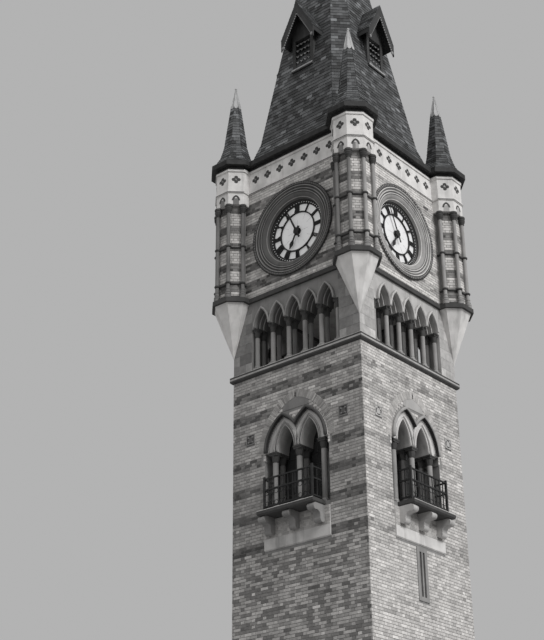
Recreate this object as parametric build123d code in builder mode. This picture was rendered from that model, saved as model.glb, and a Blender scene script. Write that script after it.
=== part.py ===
"""Clock tower: banded brick shaft, arcaded belfry, clock stage with corner turrets, slated spire.

Millimetres, +Z up. The origin is the middle of the underside of the tower, on the ground.
The front faces -Y. Heights are above the ground. All four sides are alike, so a piece is drawn
once on the front, in the plane of its wall, and laid on the four walls.
"""

import os
from math import cos, pi, radians, sin, sqrt

from build123d import *

os.makedirs("parts", exist_ok=True)

# Plan of the tower
HALF = 2100.0
WALL = 600.0
INNER = HALF - WALL
SIDES = ("front", "right", "back", "left")
TURNS = (0, 90, 180, 270)

# Foot of the tower
PLINTH_HEIGHT = 1200.0
PLINTH_PROUD = 130.0
PLINTH_CHAMFER = 90.0
GROUND_FLOOR_THICK = 250.0
FLOOR_THICK = 220.0

# Doorway in the front
DOOR_HALF = 520.0
DOOR_SPRING = 1750.0
DOOR_SHIFT = 330.0
DOOR_TRIM = 230.0
DOOR_TRIM_PROUD = 40.0
DOOR_THICK = 80.0
DOOR_SET_BACK = 300.0

# Slit windows in the two sides
SLIT_HALF = 105.0
SLIT_FOOT = 9410.0
SLIT_HEIGHT = 1090.0
SLIT_TRIM = 105.0
SLIT_TRIM_PROUD = 20.0
SLIT_MULLION = 50.0

# Window storey: two pointed lights over a balcony, on each side
BALCONY_LEVEL = 11540.0
WINDOW_HALF = 1029.0
WINDOW_DEPTH = 520.0
LIGHT_OFFSET = 391.0
LIGHT_HALF = 294.0
LIGHT_SHIFT = 430.0
CAPITAL_LEVEL = 12980.0
CAPITAL_HEIGHT = 210.0
ORDERS = 3
ORDER_STEP = 84.0
ORDER_DEPTH = 130.0
HOOD_WIDTH = 70.0
HOOD_PROUD = 95.0
WINDOW_COLUMN_RADIUS = 74.0
WINDOW_COLUMN_SPACING = 777.0
WINDOW_FRONT_ROW = 130.0
WINDOW_REAR_ROW = 400.0
WINDOW_BASE_HEIGHT = 150.0
CASEMENT_BAR = 60.0
CASEMENT_THICK = 50.0
PANE_THICK = 10.0

# Balcony
SLAB_HALF = 880.0
SLAB_REACH = 490.0
SLAB_THICK = 120.0
SLAB_NOSE = 35.0
BRACKET_OFFSET = 770.0
BRACKET_WIDTH = 160.0
BRACKET_DROP = 430.0
RAIL_HEIGHT = 840.0
RAIL_HALF = 752.0
RAIL_REACH = 336.0
RAIL_BAR = 36.0
POST_BAR = 50.0
POST_BALL = 42.0
MID_RAIL_SHARE = 0.62
FOOT_RAIL_LIFT = 90.0
BALUSTER = 20.0
BALUSTER_COUNT = 9
APRON_HEIGHT = 760.0
APRON_PROUD = 35.0
APRON_SPLAY = 25.0
PLAQUE_OFFSET = 1500.0
PLAQUE_LEVEL = 13694.0
PLAQUE_SIZE = 270.0
PLAQUE_PROUD = 12.0

# String course on top of the shaft
STRING_LEVEL = 15415.0
STRING_THICK = 170.0
STRING_PROUD = 76.0

# Belfry: an arcade of five arches on each side
BELFRY_HEIGHT = 2015.0
BELFRY_DEPTH = 470.0
PIER_HALF = 1460.0
BAY = 542.0
BAY_COUNT = 5
ARCH_HALF = 236.0
ARCH_SHIFT = 420.0
ARCH_STEP = 44.0
ARCH_STEP_DEPTH = 110.0
ARCH_STEPS = 3
ARCADE_SPRING = 1235.0
ARCADE_SILL = 60.0
ARCADE_CAPITAL = 190.0
ARCADE_BASE = 140.0
ARCADE_COLUMN_RADIUS = 63.0
ARCADE_FRONT_ROW = 110.0
ARCADE_REAR_ROW = 350.0
ARCADE_HOOD_PROUD = 75.0
ARCADE_HOOD_WIDTH = 45.0
ARCADE_HOOD_LAP = 10.0

# String course under the clock stage
STAGE_STRING_THICK = 126.0
STAGE_STRING_PROUD = 76.0

# Clock stage
CLOCK_HEIGHT = 3318.0
DIAL_RISE = 1651.0
DIAL_HOLE = 1060.0
SURROUND_RADIUS = 1355.0
SURROUND_INNER = 905.0
SURROUND_PROUD = 62.0
DIAL_SET_BACK = 175.0
DIAL_RIM = 924.0
CHAPTER_OUTER = 809.0
CHAPTER_INNER = 578.0
DIAL_RING = 34.0
DIAL_FRAME_THICK = 40.0
DIAL_PANE_THICK = 14.0
DIAL_SPOKE = 26.0
DIAL_HUB = 110.0
DIAL_FIT = 1.0

# Hands
MINUTE_REACH = 800.0
MINUTE_TAIL = 250.0
HOUR_REACH = 545.0
HOUR_TAIL = 150.0
HAND_THICK = 8.0
HAND_GAP = 14.0
MINUTE_ARBOR = 16.0
HOUR_PIPE = 27.0
ARBOR_GAP = 0.3
ARBOR_TAIL = 60.0
MINUTES = 56.0
HOURS = 6.0

# Corner turrets
TURRET_FLAT = 525.0
TURRET_BASE_FLAT = 598.0
TURRET_CORE_FLAT = 415.0
TURRET_NECK = 210.0
CORBEL_RISE = 1470.0
COLONNETTE_RADIUS = 45.0
COLONNETTE_FLAT = 478.0

# Frieze and gutter
FRIEZE_STRING = 63.0
FRIEZE_HEIGHT = 630.0
FRIEZE_TOP = 84.0
FRIEZE_PROUD = 30.0
QUATREFOIL_LOBE = 46.0
QUATREFOIL_SPREAD = 44.0
QUATREFOIL_DEPTH = 50.0
QUATREFOIL_BAY = 441.0
QUATREFOIL_COUNT = 7
GUTTER_NECK = 84.0
GUTTER_HEIGHT = 150.0
GUTTER_OUT = 150.0

# Spire
SPIRE_HALF = 1994.0
SPIRE_RISE = 12073.0
SPIRE_CUT = 11500.0
SPIRE_HOLLOW = 10300.0
SPIRE_SKIN = 150.0
CORNER_SHARE = 0.69
FLARE_HEIGHT = 700.0
FLARE_OUT = 120.0

# Lucarnes, one on each slope of the spire
LUCARNE_LEVEL = 2958.0
LUCARNE_HALF = 388.0
LUCARNE_FACE = 1505.0
LUCARNE_DEPTH = 900.0
LUCARNE_EAVES = 1155.0
LUCARNE_ROOF_HALF = 603.0
LUCARNE_ROOF_RISE = 1176.0
LUCARNE_ROOF_REACH = 270.0
LUCARNE_ROOF_THICK = 70.0
LOUVRE_HALF = 275.0
LOUVRE_HEIGHT = 1030.0
LOUVRE_COUNT = 5
LOUVRE_THICK = 28.0
LOUVRE_DEPTH = 150.0
LOUVRE_TILT = 40.0
LUCARNE_SILL = 95.0
LUCARNE_SILL_REACH = 60.0
BARGEBOARD_WIDTH = 110.0
BARGEBOARD_THICK = 45.0

# Spirelets on the turrets
SPIRELET_FLATS = (600.0, 427.0, 353.0, 315.0, 274.0, 130.0)
SPIRELET_LEVELS = (0.0, 330.0, 600.0, 772.0, 1120.0, 2236.0)
SPIRELET_CAP_RISE = 660.0
SPIRELET_CAP_FLAT = 138.0
SPIRELET_CAP_TIP = 14.0
SPIRELET_BALL = 34.0

# Lead cap and finial at the top of the spire
CAP_RISE = 520.0
CAP_LAP = 30.0
FINIAL_RISE = 1500.0
FINIAL_RADIUS = 28.0
FINIAL_BALL = 120.0

# Levels that follow from the sizes above
BELFRY_LEVEL = STRING_LEVEL + STRING_THICK
STAGE_STRING_LEVEL = BELFRY_LEVEL + BELFRY_HEIGHT
CLOCK_LEVEL = STAGE_STRING_LEVEL + STAGE_STRING_THICK
DIAL_LEVEL = CLOCK_LEVEL + DIAL_RISE
FRIEZE_LEVEL = CLOCK_LEVEL + CLOCK_HEIGHT
GUTTER_LEVEL = FRIEZE_LEVEL + FRIEZE_STRING + FRIEZE_HEIGHT + FRIEZE_TOP
SPIRE_LEVEL = GUTTER_LEVEL + GUTTER_NECK + GUTTER_HEIGHT
CORNERS = [(x * HALF, y * HALF) for x, y in ((1, -1), (1, 1), (-1, 1), (-1, -1))]

# Where the plane of each wall points: along the wall, then outward
WALL_AXES = (
    ((1, 0, 0), (0, -1, 0)), ((0, 1, 0), (1, 0, 0)), ((-1, 0, 0), (0, 1, 0)), ((0, -1, 0), (-1, 0, 0))
)


def wall_planes(out):
    """One plane on each wall, `out` from the axis of the tower: x along it, y up, z outward."""
    return [Plane((n[0] * out, n[1] * out, 0), x_dir=x, z_dir=n) for x, n in WALL_AXES]


def arch_rise(half, shift):
    """Height of a pointed arch whose two centres lie `shift` beyond its middle line."""
    return sqrt((half + shift) ** 2 - shift ** 2)


def arch_outline(half, shift, foot, spring):
    """Face under a pointed arch that springs at `spring`, with any straight jambs down to `foot`."""
    radius = half + shift
    apex = spring + arch_rise(half, shift)
    with BuildSketch() as outline:
        with BuildLine():
            if foot < spring:
                Polyline((-half, spring), (-half, foot), (half, foot), (half, spring))
            else:
                Line((-half, spring), (half, spring))
            RadiusArc((half, spring), (0, apex), -radius)
            RadiusArc((0, apex), (-half, spring), -radius)
        make_face()
    return outline.sketch


def octagon(flat):
    """Octagon with its flats square to the walls, `flat` from its middle to each."""
    return RegularPolygon(flat, 8, major_radius=False, rotation=22.5)


def save(piece, name):
    """Label the finished piece and write it."""
    piece.part.label = name
    export_step(piece.part, f"parts/{name}.step")


# Foot of the tower: chamfered stone plinth with the doorway cut through it
doorway = arch_outline(DOOR_HALF + DOOR_TRIM, DOOR_SHIFT, GROUND_FLOOR_THICK, DOOR_SPRING)
with BuildPart() as plinth:
    with BuildSketch():
        Rectangle(2 * (HALF + PLINTH_PROUD), 2 * (HALF + PLINTH_PROUD))
        Rectangle(2 * INNER, 2 * INNER, mode=Mode.SUBTRACT)
    extrude(amount=PLINTH_HEIGHT)
    chamfer(plinth.edges().group_by(Axis.Z)[-1].filter_by(lambda e: e.length > 2 * HALF), PLINTH_CHAMFER)
    with BuildSketch(Plane.XZ.offset(INNER)):
        add(doorway)
    extrude(amount=2 * WALL, mode=Mode.SUBTRACT)
save(plinth, "plinth")

with BuildPart() as ground_floor:
    with BuildSketch():
        Rectangle(2 * INNER, 2 * INNER)
    extrude(amount=GROUND_FLOOR_THICK)
save(ground_floor, "ground_floor")

# Brick shaft up to the balconies, cut by the doorway and by a slit in each side
slit = (SLIT_HALF + SLIT_TRIM, SLIT_FOOT - SLIT_TRIM, SLIT_HEIGHT + 2 * SLIT_TRIM)
with BuildPart() as lower_shaft:
    with BuildSketch(Plane.XY.offset(PLINTH_HEIGHT)):
        Rectangle(2 * HALF, 2 * HALF)
        Rectangle(2 * INNER, 2 * INNER, mode=Mode.SUBTRACT)
    extrude(amount=BALCONY_LEVEL - PLINTH_HEIGHT)
    with BuildSketch(Plane.XZ.offset(INNER)):
        add(doorway)
    extrude(amount=WALL, mode=Mode.SUBTRACT)
    with BuildSketch(Plane.YZ):
        with Locations((0, slit[1])):
            Rectangle(2 * slit[0], slit[2], align=(Align.CENTER, Align.MIN))
    extrude(amount=HALF, both=True, mode=Mode.SUBTRACT)
save(lower_shaft, "lower_shaft")

# Pointed stone surround of the doorway, with the closed door behind it
door_opening = arch_outline(DOOR_HALF, DOOR_SHIFT, GROUND_FLOOR_THICK, DOOR_SPRING)
with BuildPart() as door_surround:
    with BuildSketch(Plane.XZ.offset(HALF - DOOR_SET_BACK)):
        add(doorway)
        add(door_opening, mode=Mode.SUBTRACT)
    extrude(amount=DOOR_SET_BACK + PLINTH_PROUD + DOOR_TRIM_PROUD)
save(door_surround, "door_surround")

with BuildPart() as door_leaf:
    with BuildSketch(Plane.XZ.offset(HALF - DOOR_SET_BACK)):
        add(doorway)
    extrude(amount=-DOOR_THICK)
save(door_leaf, "door_leaf")

# Stone surrounds of the slits, each with a mullion between its two narrow lights
with BuildPart() as slit_surrounds:
    for plane in (wall_planes(INNER)[1], wall_planes(INNER)[3]):
        with BuildSketch(plane):
            with Locations((0, slit[1])):
                Rectangle(2 * slit[0], slit[2], align=(Align.CENTER, Align.MIN))
            with Locations((0, SLIT_FOOT)):
                Rectangle(2 * SLIT_HALF, SLIT_HEIGHT, align=(Align.CENTER, Align.MIN), mode=Mode.SUBTRACT)
                Rectangle(SLIT_MULLION, SLIT_HEIGHT, align=(Align.CENTER, Align.MIN))
        extrude(amount=WALL + SLIT_TRIM_PROUD)
save(slit_surrounds, "slit_surrounds")

# Window storey: the brick stands clear of the stone heads and of the jambs under them
head_level = CAPITAL_LEVEL + CAPITAL_HEIGHT
head_half = LIGHT_HALF + ORDERS * ORDER_STEP + HOOD_WIDTH
twin = arch_outline(head_half, LIGHT_SHIFT, CAPITAL_LEVEL, head_level)
with BuildSketch() as window_outline:
    with Locations((-LIGHT_OFFSET, 0), (LIGHT_OFFSET, 0)):
        add(twin)
    with Locations((0, BALCONY_LEVEL)):
        Rectangle(2 * WINDOW_HALF, CAPITAL_LEVEL - BALCONY_LEVEL, align=(Align.CENTER, Align.MIN))
with BuildPart() as window_stage:
    with BuildSketch(Plane.XY.offset(BALCONY_LEVEL)):
        Rectangle(2 * HALF, 2 * HALF)
        Rectangle(2 * INNER, 2 * INNER, mode=Mode.SUBTRACT)
    extrude(amount=STRING_LEVEL - BALCONY_LEVEL)
    for plane in wall_planes(INNER):
        with BuildSketch(plane):
            add(window_outline.sketch)
        extrude(amount=WALL, mode=Mode.SUBTRACT)
save(window_stage, "window_stage")

# Stone heads of the windows: twin pointed arches in stepped orders under a projecting hood
hood_outer = arch_outline(head_half, LIGHT_SHIFT, head_level, head_level)
hood_inner = arch_outline(head_half - HOOD_WIDTH, LIGHT_SHIFT, head_level - 1, head_level)
with BuildPart() as window_head:
    with BuildSketch(Plane.XZ.offset(HALF - WINDOW_DEPTH)):
        with Locations((-LIGHT_OFFSET, 0), (LIGHT_OFFSET, 0)):
            add(hood_outer)
    extrude(amount=WINDOW_DEPTH)
    for order in range(ORDERS):
        light = arch_outline(LIGHT_HALF + order * ORDER_STEP, LIGHT_SHIFT, head_level - 1, head_level)
        with BuildSketch(Plane.XZ.offset(HALF)):
            with Locations((-LIGHT_OFFSET, 0), (LIGHT_OFFSET, 0)):
                add(light)
        extrude(amount=-(ORDERS - order) * ORDER_DEPTH if order else -WINDOW_DEPTH, mode=Mode.SUBTRACT)
    with BuildSketch(Plane.XZ.offset(HALF)):
        with Locations((-LIGHT_OFFSET, 0), (LIGHT_OFFSET, 0)):
            add(hood_outer)
        with Locations((-LIGHT_OFFSET, 0), (LIGHT_OFFSET, 0)):
            add(hood_inner, mode=Mode.SUBTRACT)
    extrude(amount=HOOD_PROUD)
with BuildPart() as window_heads:
    with PolarLocations(0, 4):
        add(window_head.part)
save(window_heads, "window_heads")


def column(radius, height, base, capital):
    """Round shaft on a square base, under a flared capital with a square top."""
    block = 2.9 * radius
    with BuildPart() as shaft:
        with BuildSketch():
            Rectangle(block, block)
        extrude(amount=0.4 * base)
        with BuildSketch(Plane.XY.offset(0.4 * base)):
            Circle(1.35 * radius)
        with BuildSketch(Plane.XY.offset(base)):
            Circle(radius)
        loft()
        with BuildSketch(Plane.XY.offset(base)):
            Circle(radius)
        extrude(amount=height - base - capital)
        with BuildSketch(Plane.XY.offset(height - capital)):
            Circle(radius)
        with BuildSketch(Plane.XY.offset(height - 0.35 * capital)):
            Circle(1.4 * radius)
        loft()
        with BuildSketch(Plane.XY.offset(height - 0.35 * capital)):
            Rectangle(block, block)
        extrude(amount=0.35 * capital)
    return shaft.part


# Columns of the windows: a row in front and a row behind, three to a row
window_column = column(
    WINDOW_COLUMN_RADIUS, head_level - BALCONY_LEVEL, WINDOW_BASE_HEIGHT, CAPITAL_HEIGHT
)
with BuildPart() as window_columns:
    for turn in TURNS:
        for row in (WINDOW_FRONT_ROW, WINDOW_REAR_ROW):
            with Locations(Location((0, 0, 0), (0, 0, turn))):
                with Locations((0, -HALF + row, BALCONY_LEVEL)):
                    with GridLocations(WINDOW_COLUMN_SPACING, 0, 3, 1):
                        add(window_column)
save(window_columns, "window_columns")

# Glazed timber frames that close the windows behind the rear columns
with BuildPart() as casement:
    with BuildSketch(Plane.XZ.offset(HALF - WINDOW_DEPTH)):
        add(window_outline.sketch)
        offset(amount=-CASEMENT_BAR, kind=Kind.INTERSECTION, mode=Mode.SUBTRACT)
        with Locations((0, BALCONY_LEVEL)):
            Rectangle(CASEMENT_BAR, head_level - BALCONY_LEVEL, align=(Align.CENTER, Align.MIN))
    extrude(amount=-CASEMENT_THICK)
with BuildPart() as window_casements:
    with PolarLocations(0, 4):
        add(casement.part)
save(window_casements, "window_casements")

with BuildPart() as window_panes:
    for plane in wall_planes(HALF - WINDOW_DEPTH - CASEMENT_THICK):
        with BuildSketch(plane):
            add(window_outline.sketch)
        extrude(amount=-PANE_THICK)
save(window_panes, "window_panes")

# Floors behind the balconies, under the bells and over them
with BuildPart() as upper_floors:
    for level, thick in (
        (BALCONY_LEVEL, FLOOR_THICK), (BELFRY_LEVEL, FLOOR_THICK), (CLOCK_LEVEL, STAGE_STRING_THICK)
    ):
        with BuildSketch(Plane.XY.offset(level - thick)):
            Rectangle(2 * INNER, 2 * INNER)
        extrude(amount=thick)
save(upper_floors, "upper_floors")

# Stone apron under each balcony, its lower edge splayed back to the brick
with BuildPart() as apron_panels:
    for plane in wall_planes(HALF):
        with BuildSketch(plane):
            with Locations((0, BALCONY_LEVEL - SLAB_THICK - APRON_HEIGHT)):
                Rectangle(2 * WINDOW_HALF, APRON_HEIGHT, align=(Align.CENTER, Align.MIN))
        extrude(amount=APRON_PROUD)
    chamfer(apron_panels.edges().group_by(Axis.Z)[0].filter_by(
        lambda e: max(abs(e.center().X), abs(e.center().Y)) > HALF + APRON_PROUD / 2 and e.length > HALF / 2
    ), APRON_SPLAY)
save(apron_panels, "apron_panels")

# Balcony slabs with a rounded nose, on three scrolled brackets each
with BuildPart() as balcony_slabs:
    for plane in wall_planes(HALF):
        with BuildSketch(plane):
            with Locations((0, BALCONY_LEVEL - SLAB_THICK)):
                Rectangle(2 * SLAB_HALF, SLAB_THICK, align=(Align.CENTER, Align.MIN))
        extrude(amount=SLAB_REACH)
    chamfer(balcony_slabs.edges().group_by(Axis.Z)[0].filter_by(
        lambda e: max(abs(e.center().X), abs(e.center().Y)) > HALF + SLAB_REACH / 3
    ), SLAB_NOSE)
save(balcony_slabs, "balcony_slabs")

bracket_top = BALCONY_LEVEL - SLAB_THICK
bracket_foot = bracket_top - BRACKET_DROP
bracket_start = HALF + APRON_PROUD
bracket_reach = SLAB_REACH - SLAB_NOSE
nose = 140.0
roll = 190.0
with BuildPart() as balcony_brackets:
    for turn in TURNS:
        rad = radians(turn)
        out = Vector(sin(rad), -cos(rad), 0)
        side = Vector(cos(rad), sin(rad), 0)
        for shift in (-BRACKET_OFFSET, 0, BRACKET_OFFSET):
            middle = side * (shift - BRACKET_WIDTH / 2)
            with BuildSketch(Plane(middle, x_dir=out, z_dir=out.cross(Vector(0, 0, 1)))):
                with BuildLine():
                    Line((bracket_start, bracket_foot), (bracket_start, bracket_top))
                    Line((bracket_start, bracket_top), (HALF + bracket_reach, bracket_top))
                    ThreePointArc(
                        (HALF + bracket_reach, bracket_top),
                        (HALF + bracket_reach - nose / 3, bracket_top - nose * 0.8),
                        (HALF + bracket_reach - nose, bracket_top - nose),
                    )
                    Line(
                        (HALF + bracket_reach - nose, bracket_top - nose),
                        (bracket_start + roll, bracket_top - nose * 1.15),
                    )
                    ThreePointArc(
                        (bracket_start + roll, bracket_top - nose * 1.15),
                        (bracket_start + roll * 0.85, bracket_foot + roll * 0.45),
                        (bracket_start, bracket_foot),
                    )
                make_face()
            extrude(amount=-BRACKET_WIDTH)
save(balcony_brackets, "balcony_brackets")

# Iron railings: a front panel between two posts, and a return to the wall at each end
rail_face = HALF + RAIL_REACH
mid_rail = RAIL_HEIGHT * MID_RAIL_SHARE
rail_levels = (FOOT_RAIL_LIFT, mid_rail, RAIL_HEIGHT - RAIL_BAR)
baluster_bay = 2 * RAIL_HALF / (BALUSTER_COUNT + 1)
with BuildPart() as railing_fronts:
    for plane in wall_planes(rail_face - POST_BAR / 2):
        with BuildSketch(plane):
            with Locations((-RAIL_HALF, BALCONY_LEVEL), (RAIL_HALF, BALCONY_LEVEL)):
                Rectangle(POST_BAR, RAIL_HEIGHT + POST_BALL, align=(Align.CENTER, Align.MIN))
        extrude(amount=POST_BAR)
    for plane in wall_planes(rail_face - RAIL_BAR / 2):
        with BuildSketch(plane):
            for level in rail_levels:
                with Locations((0, BALCONY_LEVEL + level)):
                    Rectangle(2 * RAIL_HALF, RAIL_BAR, align=(Align.CENTER, Align.MIN))
        extrude(amount=RAIL_BAR)
    for plane in wall_planes(rail_face - BALUSTER / 2):
        with BuildSketch(plane):
            with Locations((0, BALCONY_LEVEL + FOOT_RAIL_LIFT)):
                with GridLocations(baluster_bay, 0, BALUSTER_COUNT, 1):
                    Rectangle(BALUSTER, RAIL_HEIGHT - FOOT_RAIL_LIFT, align=(Align.CENTER, Align.MIN))
        extrude(amount=BALUSTER)
save(railing_fronts, "railing_fronts")

return_length = RAIL_REACH - POST_BAR / 2
with BuildPart() as railing_returns:
    for turn in TURNS:
        rad = radians(turn)
        out = Vector(sin(rad), -cos(rad), 0)
        side = Vector(cos(rad), sin(rad), 0)
        for shift in (-RAIL_HALF, RAIL_HALF):
            for bar, cells in ((RAIL_BAR, rail_levels), (BALUSTER, None)):
                start = side * (shift - bar / 2)
                with BuildSketch(Plane(start, x_dir=out, z_dir=out.cross(Vector(0, 0, 1)))):
                    if cells:
                        for level in cells:
                            with Locations((HALF, BALCONY_LEVEL + level)):
                                Rectangle(return_length, bar, align=(Align.MIN, Align.MIN))
                    else:
                        with Locations((HALF + return_length / 2, BALCONY_LEVEL + FOOT_RAIL_LIFT)):
                            Rectangle(bar, RAIL_HEIGHT - FOOT_RAIL_LIFT, align=(Align.CENTER, Align.MIN))
                extrude(amount=-bar)
save(railing_returns, "railing_returns")

# String course round the top of the shaft, splayed on its upper edge
with BuildPart() as string_course:
    with BuildSketch(Plane.XY.offset(STRING_LEVEL)):
        Rectangle(2 * (HALF + STRING_PROUD), 2 * (HALF + STRING_PROUD))
        Rectangle(2 * INNER, 2 * INNER, mode=Mode.SUBTRACT)
    extrude(amount=STRING_THICK)
    chamfer(string_course.edges().group_by(Axis.Z)[0].filter_by(lambda e: e.length > 2 * HALF), STRING_PROUD / 2)
save(string_course, "string_course")

# Belfry: a square pier at each corner and a stone head of five stepped arches between each two
arcade_level = BELFRY_LEVEL + ARCADE_SPRING
pier = HALF - PIER_HALF
with BuildPart() as corner_piers:
    with BuildSketch(Plane.XY.offset(BELFRY_LEVEL)):
        with GridLocations(2 * HALF - pier, 2 * HALF - pier, 2, 2):
            Rectangle(pier, pier)
    extrude(amount=BELFRY_HEIGHT)
save(corner_piers, "corner_piers")

with BuildPart() as arcade_head:
    with BuildSketch(Plane.XZ.offset(HALF)):
        with Locations((0, arcade_level)):
            Rectangle(2 * PIER_HALF, BELFRY_HEIGHT - ARCADE_SPRING, align=(Align.CENTER, Align.MIN))
    extrude(amount=-BELFRY_DEPTH)
    for step in range(ARCH_STEPS):
        arch = arch_outline(ARCH_HALF - step * ARCH_STEP, ARCH_SHIFT, arcade_level - 1, arcade_level)
        with BuildSketch(Plane.XZ.offset(HALF)):
            with GridLocations(BAY, 0, BAY_COUNT, 1):
                add(arch)
        last = step == ARCH_STEPS - 1
        extrude(amount=-BELFRY_DEPTH if last else -(step + 1) * ARCH_STEP_DEPTH, mode=Mode.SUBTRACT)
    hood = arch_outline(BAY / 2 + ARCADE_HOOD_LAP, ARCH_SHIFT, arcade_level, arcade_level)
    hood_cut = arch_outline(BAY / 2 - ARCADE_HOOD_WIDTH, ARCH_SHIFT, arcade_level - 1, arcade_level)
    with BuildSketch(Plane.XZ.offset(HALF)):
        with GridLocations(BAY, 0, BAY_COUNT, 1):
            add(hood)
        with GridLocations(BAY, 0, BAY_COUNT, 1):
            add(hood_cut, mode=Mode.SUBTRACT)
    extrude(amount=ARCADE_HOOD_PROUD)
with BuildPart() as arcade_heads:
    with PolarLocations(0, 4):
        add(arcade_head.part)
save(arcade_heads, "arcade_heads")

arcade_column = column(
    ARCADE_COLUMN_RADIUS, ARCADE_SPRING - ARCADE_SILL, ARCADE_BASE, ARCADE_CAPITAL
)
with BuildPart() as arcade_columns:
    for turn in TURNS:
        for row in (ARCADE_FRONT_ROW, ARCADE_REAR_ROW):
            with Locations(Location((0, 0, 0), (0, 0, turn))):
                with Locations((0, -HALF + row, BELFRY_LEVEL + ARCADE_SILL)):
                    with GridLocations(BAY, 0, BAY_COUNT + 1, 1):
                        add(arcade_column)
save(arcade_columns, "arcade_columns")

with BuildPart() as arcade_sills:
    for plane in wall_planes(HALF):
        with BuildSketch(plane):
            with Locations((0, BELFRY_LEVEL)):
                Rectangle(2 * PIER_HALF, ARCADE_SILL, align=(Align.CENTER, Align.MIN))
        extrude(amount=-BELFRY_DEPTH)
save(arcade_sills, "arcade_sills")

# String course under the clock stage, carried round the feet of the turrets
with BuildPart() as stage_string:
    with BuildSketch(Plane.XY.offset(STAGE_STRING_LEVEL)):
        Rectangle(2 * (HALF + STAGE_STRING_PROUD), 2 * (HALF + STAGE_STRING_PROUD))
        with Locations(*CORNERS):
            octagon(TURRET_BASE_FLAT)
        Rectangle(2 * INNER, 2 * INNER, mode=Mode.SUBTRACT)
    extrude(amount=STAGE_STRING_THICK)
save(stage_string, "stage_string")

# Corner turrets: faceted corbels that grow out of the corners of the belfry
with BuildPart() as turret_corbels:
    for x, y in CORNERS:
        with BuildSketch(Plane((x, y, STAGE_STRING_LEVEL - CORBEL_RISE))):
            octagon(5)
        with BuildSketch(Plane((x, y, STAGE_STRING_LEVEL))):
            octagon(TURRET_FLAT)
        loft()
    with BuildSketch(Plane.XY.offset(STAGE_STRING_LEVEL - CORBEL_RISE)):
        Rectangle(2 * HALF, 2 * HALF)
    extrude(amount=CORBEL_RISE, mode=Mode.SUBTRACT)
save(turret_corbels, "turret_corbels")

turret_head_level = CLOCK_LEVEL + CLOCK_HEIGHT - TURRET_NECK
with BuildPart() as turret_cores:
    with BuildSketch(Plane.XY.offset(CLOCK_LEVEL)):
        with Locations(*CORNERS):
            octagon(TURRET_CORE_FLAT)
        Rectangle(2 * HALF, 2 * HALF, mode=Mode.SUBTRACT)
    extrude(amount=turret_head_level - CLOCK_LEVEL)
save(turret_cores, "turret_cores")

with BuildPart() as turret_heads:
    with BuildSketch(Plane.XY.offset(turret_head_level)):
        with Locations(*CORNERS):
            octagon(TURRET_FLAT)
        Rectangle(2 * HALF, 2 * HALF, mode=Mode.SUBTRACT)
    extrude(amount=TURRET_NECK)
save(turret_heads, "turret_heads")

colonnette_ring = COLONNETTE_FLAT / cos(pi / 8)
with BuildPart() as colonnette:
    Cylinder(COLONNETTE_RADIUS, turret_head_level - CLOCK_LEVEL, align=(Align.CENTER, Align.CENTER, Align.MIN))
    Box(2.3 * COLONNETTE_RADIUS, 2.3 * COLONNETTE_RADIUS, 90, align=(Align.CENTER, Align.CENTER, Align.MIN))
with BuildPart() as turret_colonnettes:
    for turn, (x, y) in zip((-45, 45, 135, 225), CORNERS):
        with Locations((x, y, CLOCK_LEVEL)):
            with PolarLocations(colonnette_ring, 6, turn - 112.5, 225):
                add(colonnette.part)
save(turret_colonnettes, "turret_colonnettes")

# Clock stage: a brick wall pierced for the dials
with BuildPart() as clock_walls:
    with BuildSketch(Plane.XY.offset(CLOCK_LEVEL)):
        Rectangle(2 * HALF, 2 * HALF)
        Rectangle(2 * INNER, 2 * INNER, mode=Mode.SUBTRACT)
    extrude(amount=CLOCK_HEIGHT)
    for plane in wall_planes(INNER):
        with BuildSketch(plane):
            with Locations((0, DIAL_LEVEL)):
                Circle(DIAL_HOLE)
        extrude(amount=WALL, mode=Mode.SUBTRACT)
save(clock_walls, "clock_walls")

# Moulded stone surrounds: a tail in the hole of the wall behind a ring of rolls and a cavetto
recess = HALF - DIAL_SET_BACK
with BuildPart() as dial_surround:
    with BuildSketch(Plane.YZ):
        with BuildLine():
            Polyline(
                (-recess + DIAL_FRAME_THICK, DIAL_LEVEL + SURROUND_INNER),
                (-recess + DIAL_FRAME_THICK, DIAL_LEVEL + DIAL_HOLE),
                (-HALF, DIAL_LEVEL + DIAL_HOLE),
                (-HALF, DIAL_LEVEL + SURROUND_RADIUS),
                (-HALF - SURROUND_PROUD, DIAL_LEVEL + SURROUND_RADIUS),
                (-HALF - SURROUND_PROUD, DIAL_LEVEL + SURROUND_RADIUS - 60),
                (-HALF - SURROUND_PROUD / 2, DIAL_LEVEL + SURROUND_RADIUS - 75),
                (-HALF - SURROUND_PROUD, DIAL_LEVEL + SURROUND_RADIUS - 130),
                (-HALF - SURROUND_PROUD / 3, DIAL_LEVEL + SURROUND_RADIUS - 205),
                (-HALF - SURROUND_PROUD / 2, DIAL_LEVEL + SURROUND_RADIUS - 270),
                (-HALF + 10, DIAL_LEVEL + DIAL_HOLE - 10),
                (-recess, DIAL_LEVEL + SURROUND_INNER),
                close=True,
            )
        make_face()
    revolve(axis=Axis((0, 0, DIAL_LEVEL), (0, 1, 0)))
with BuildPart() as dial_surrounds:
    with PolarLocations(0, 4):
        add(dial_surround.part)
save(dial_surrounds, "dial_surrounds")

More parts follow.
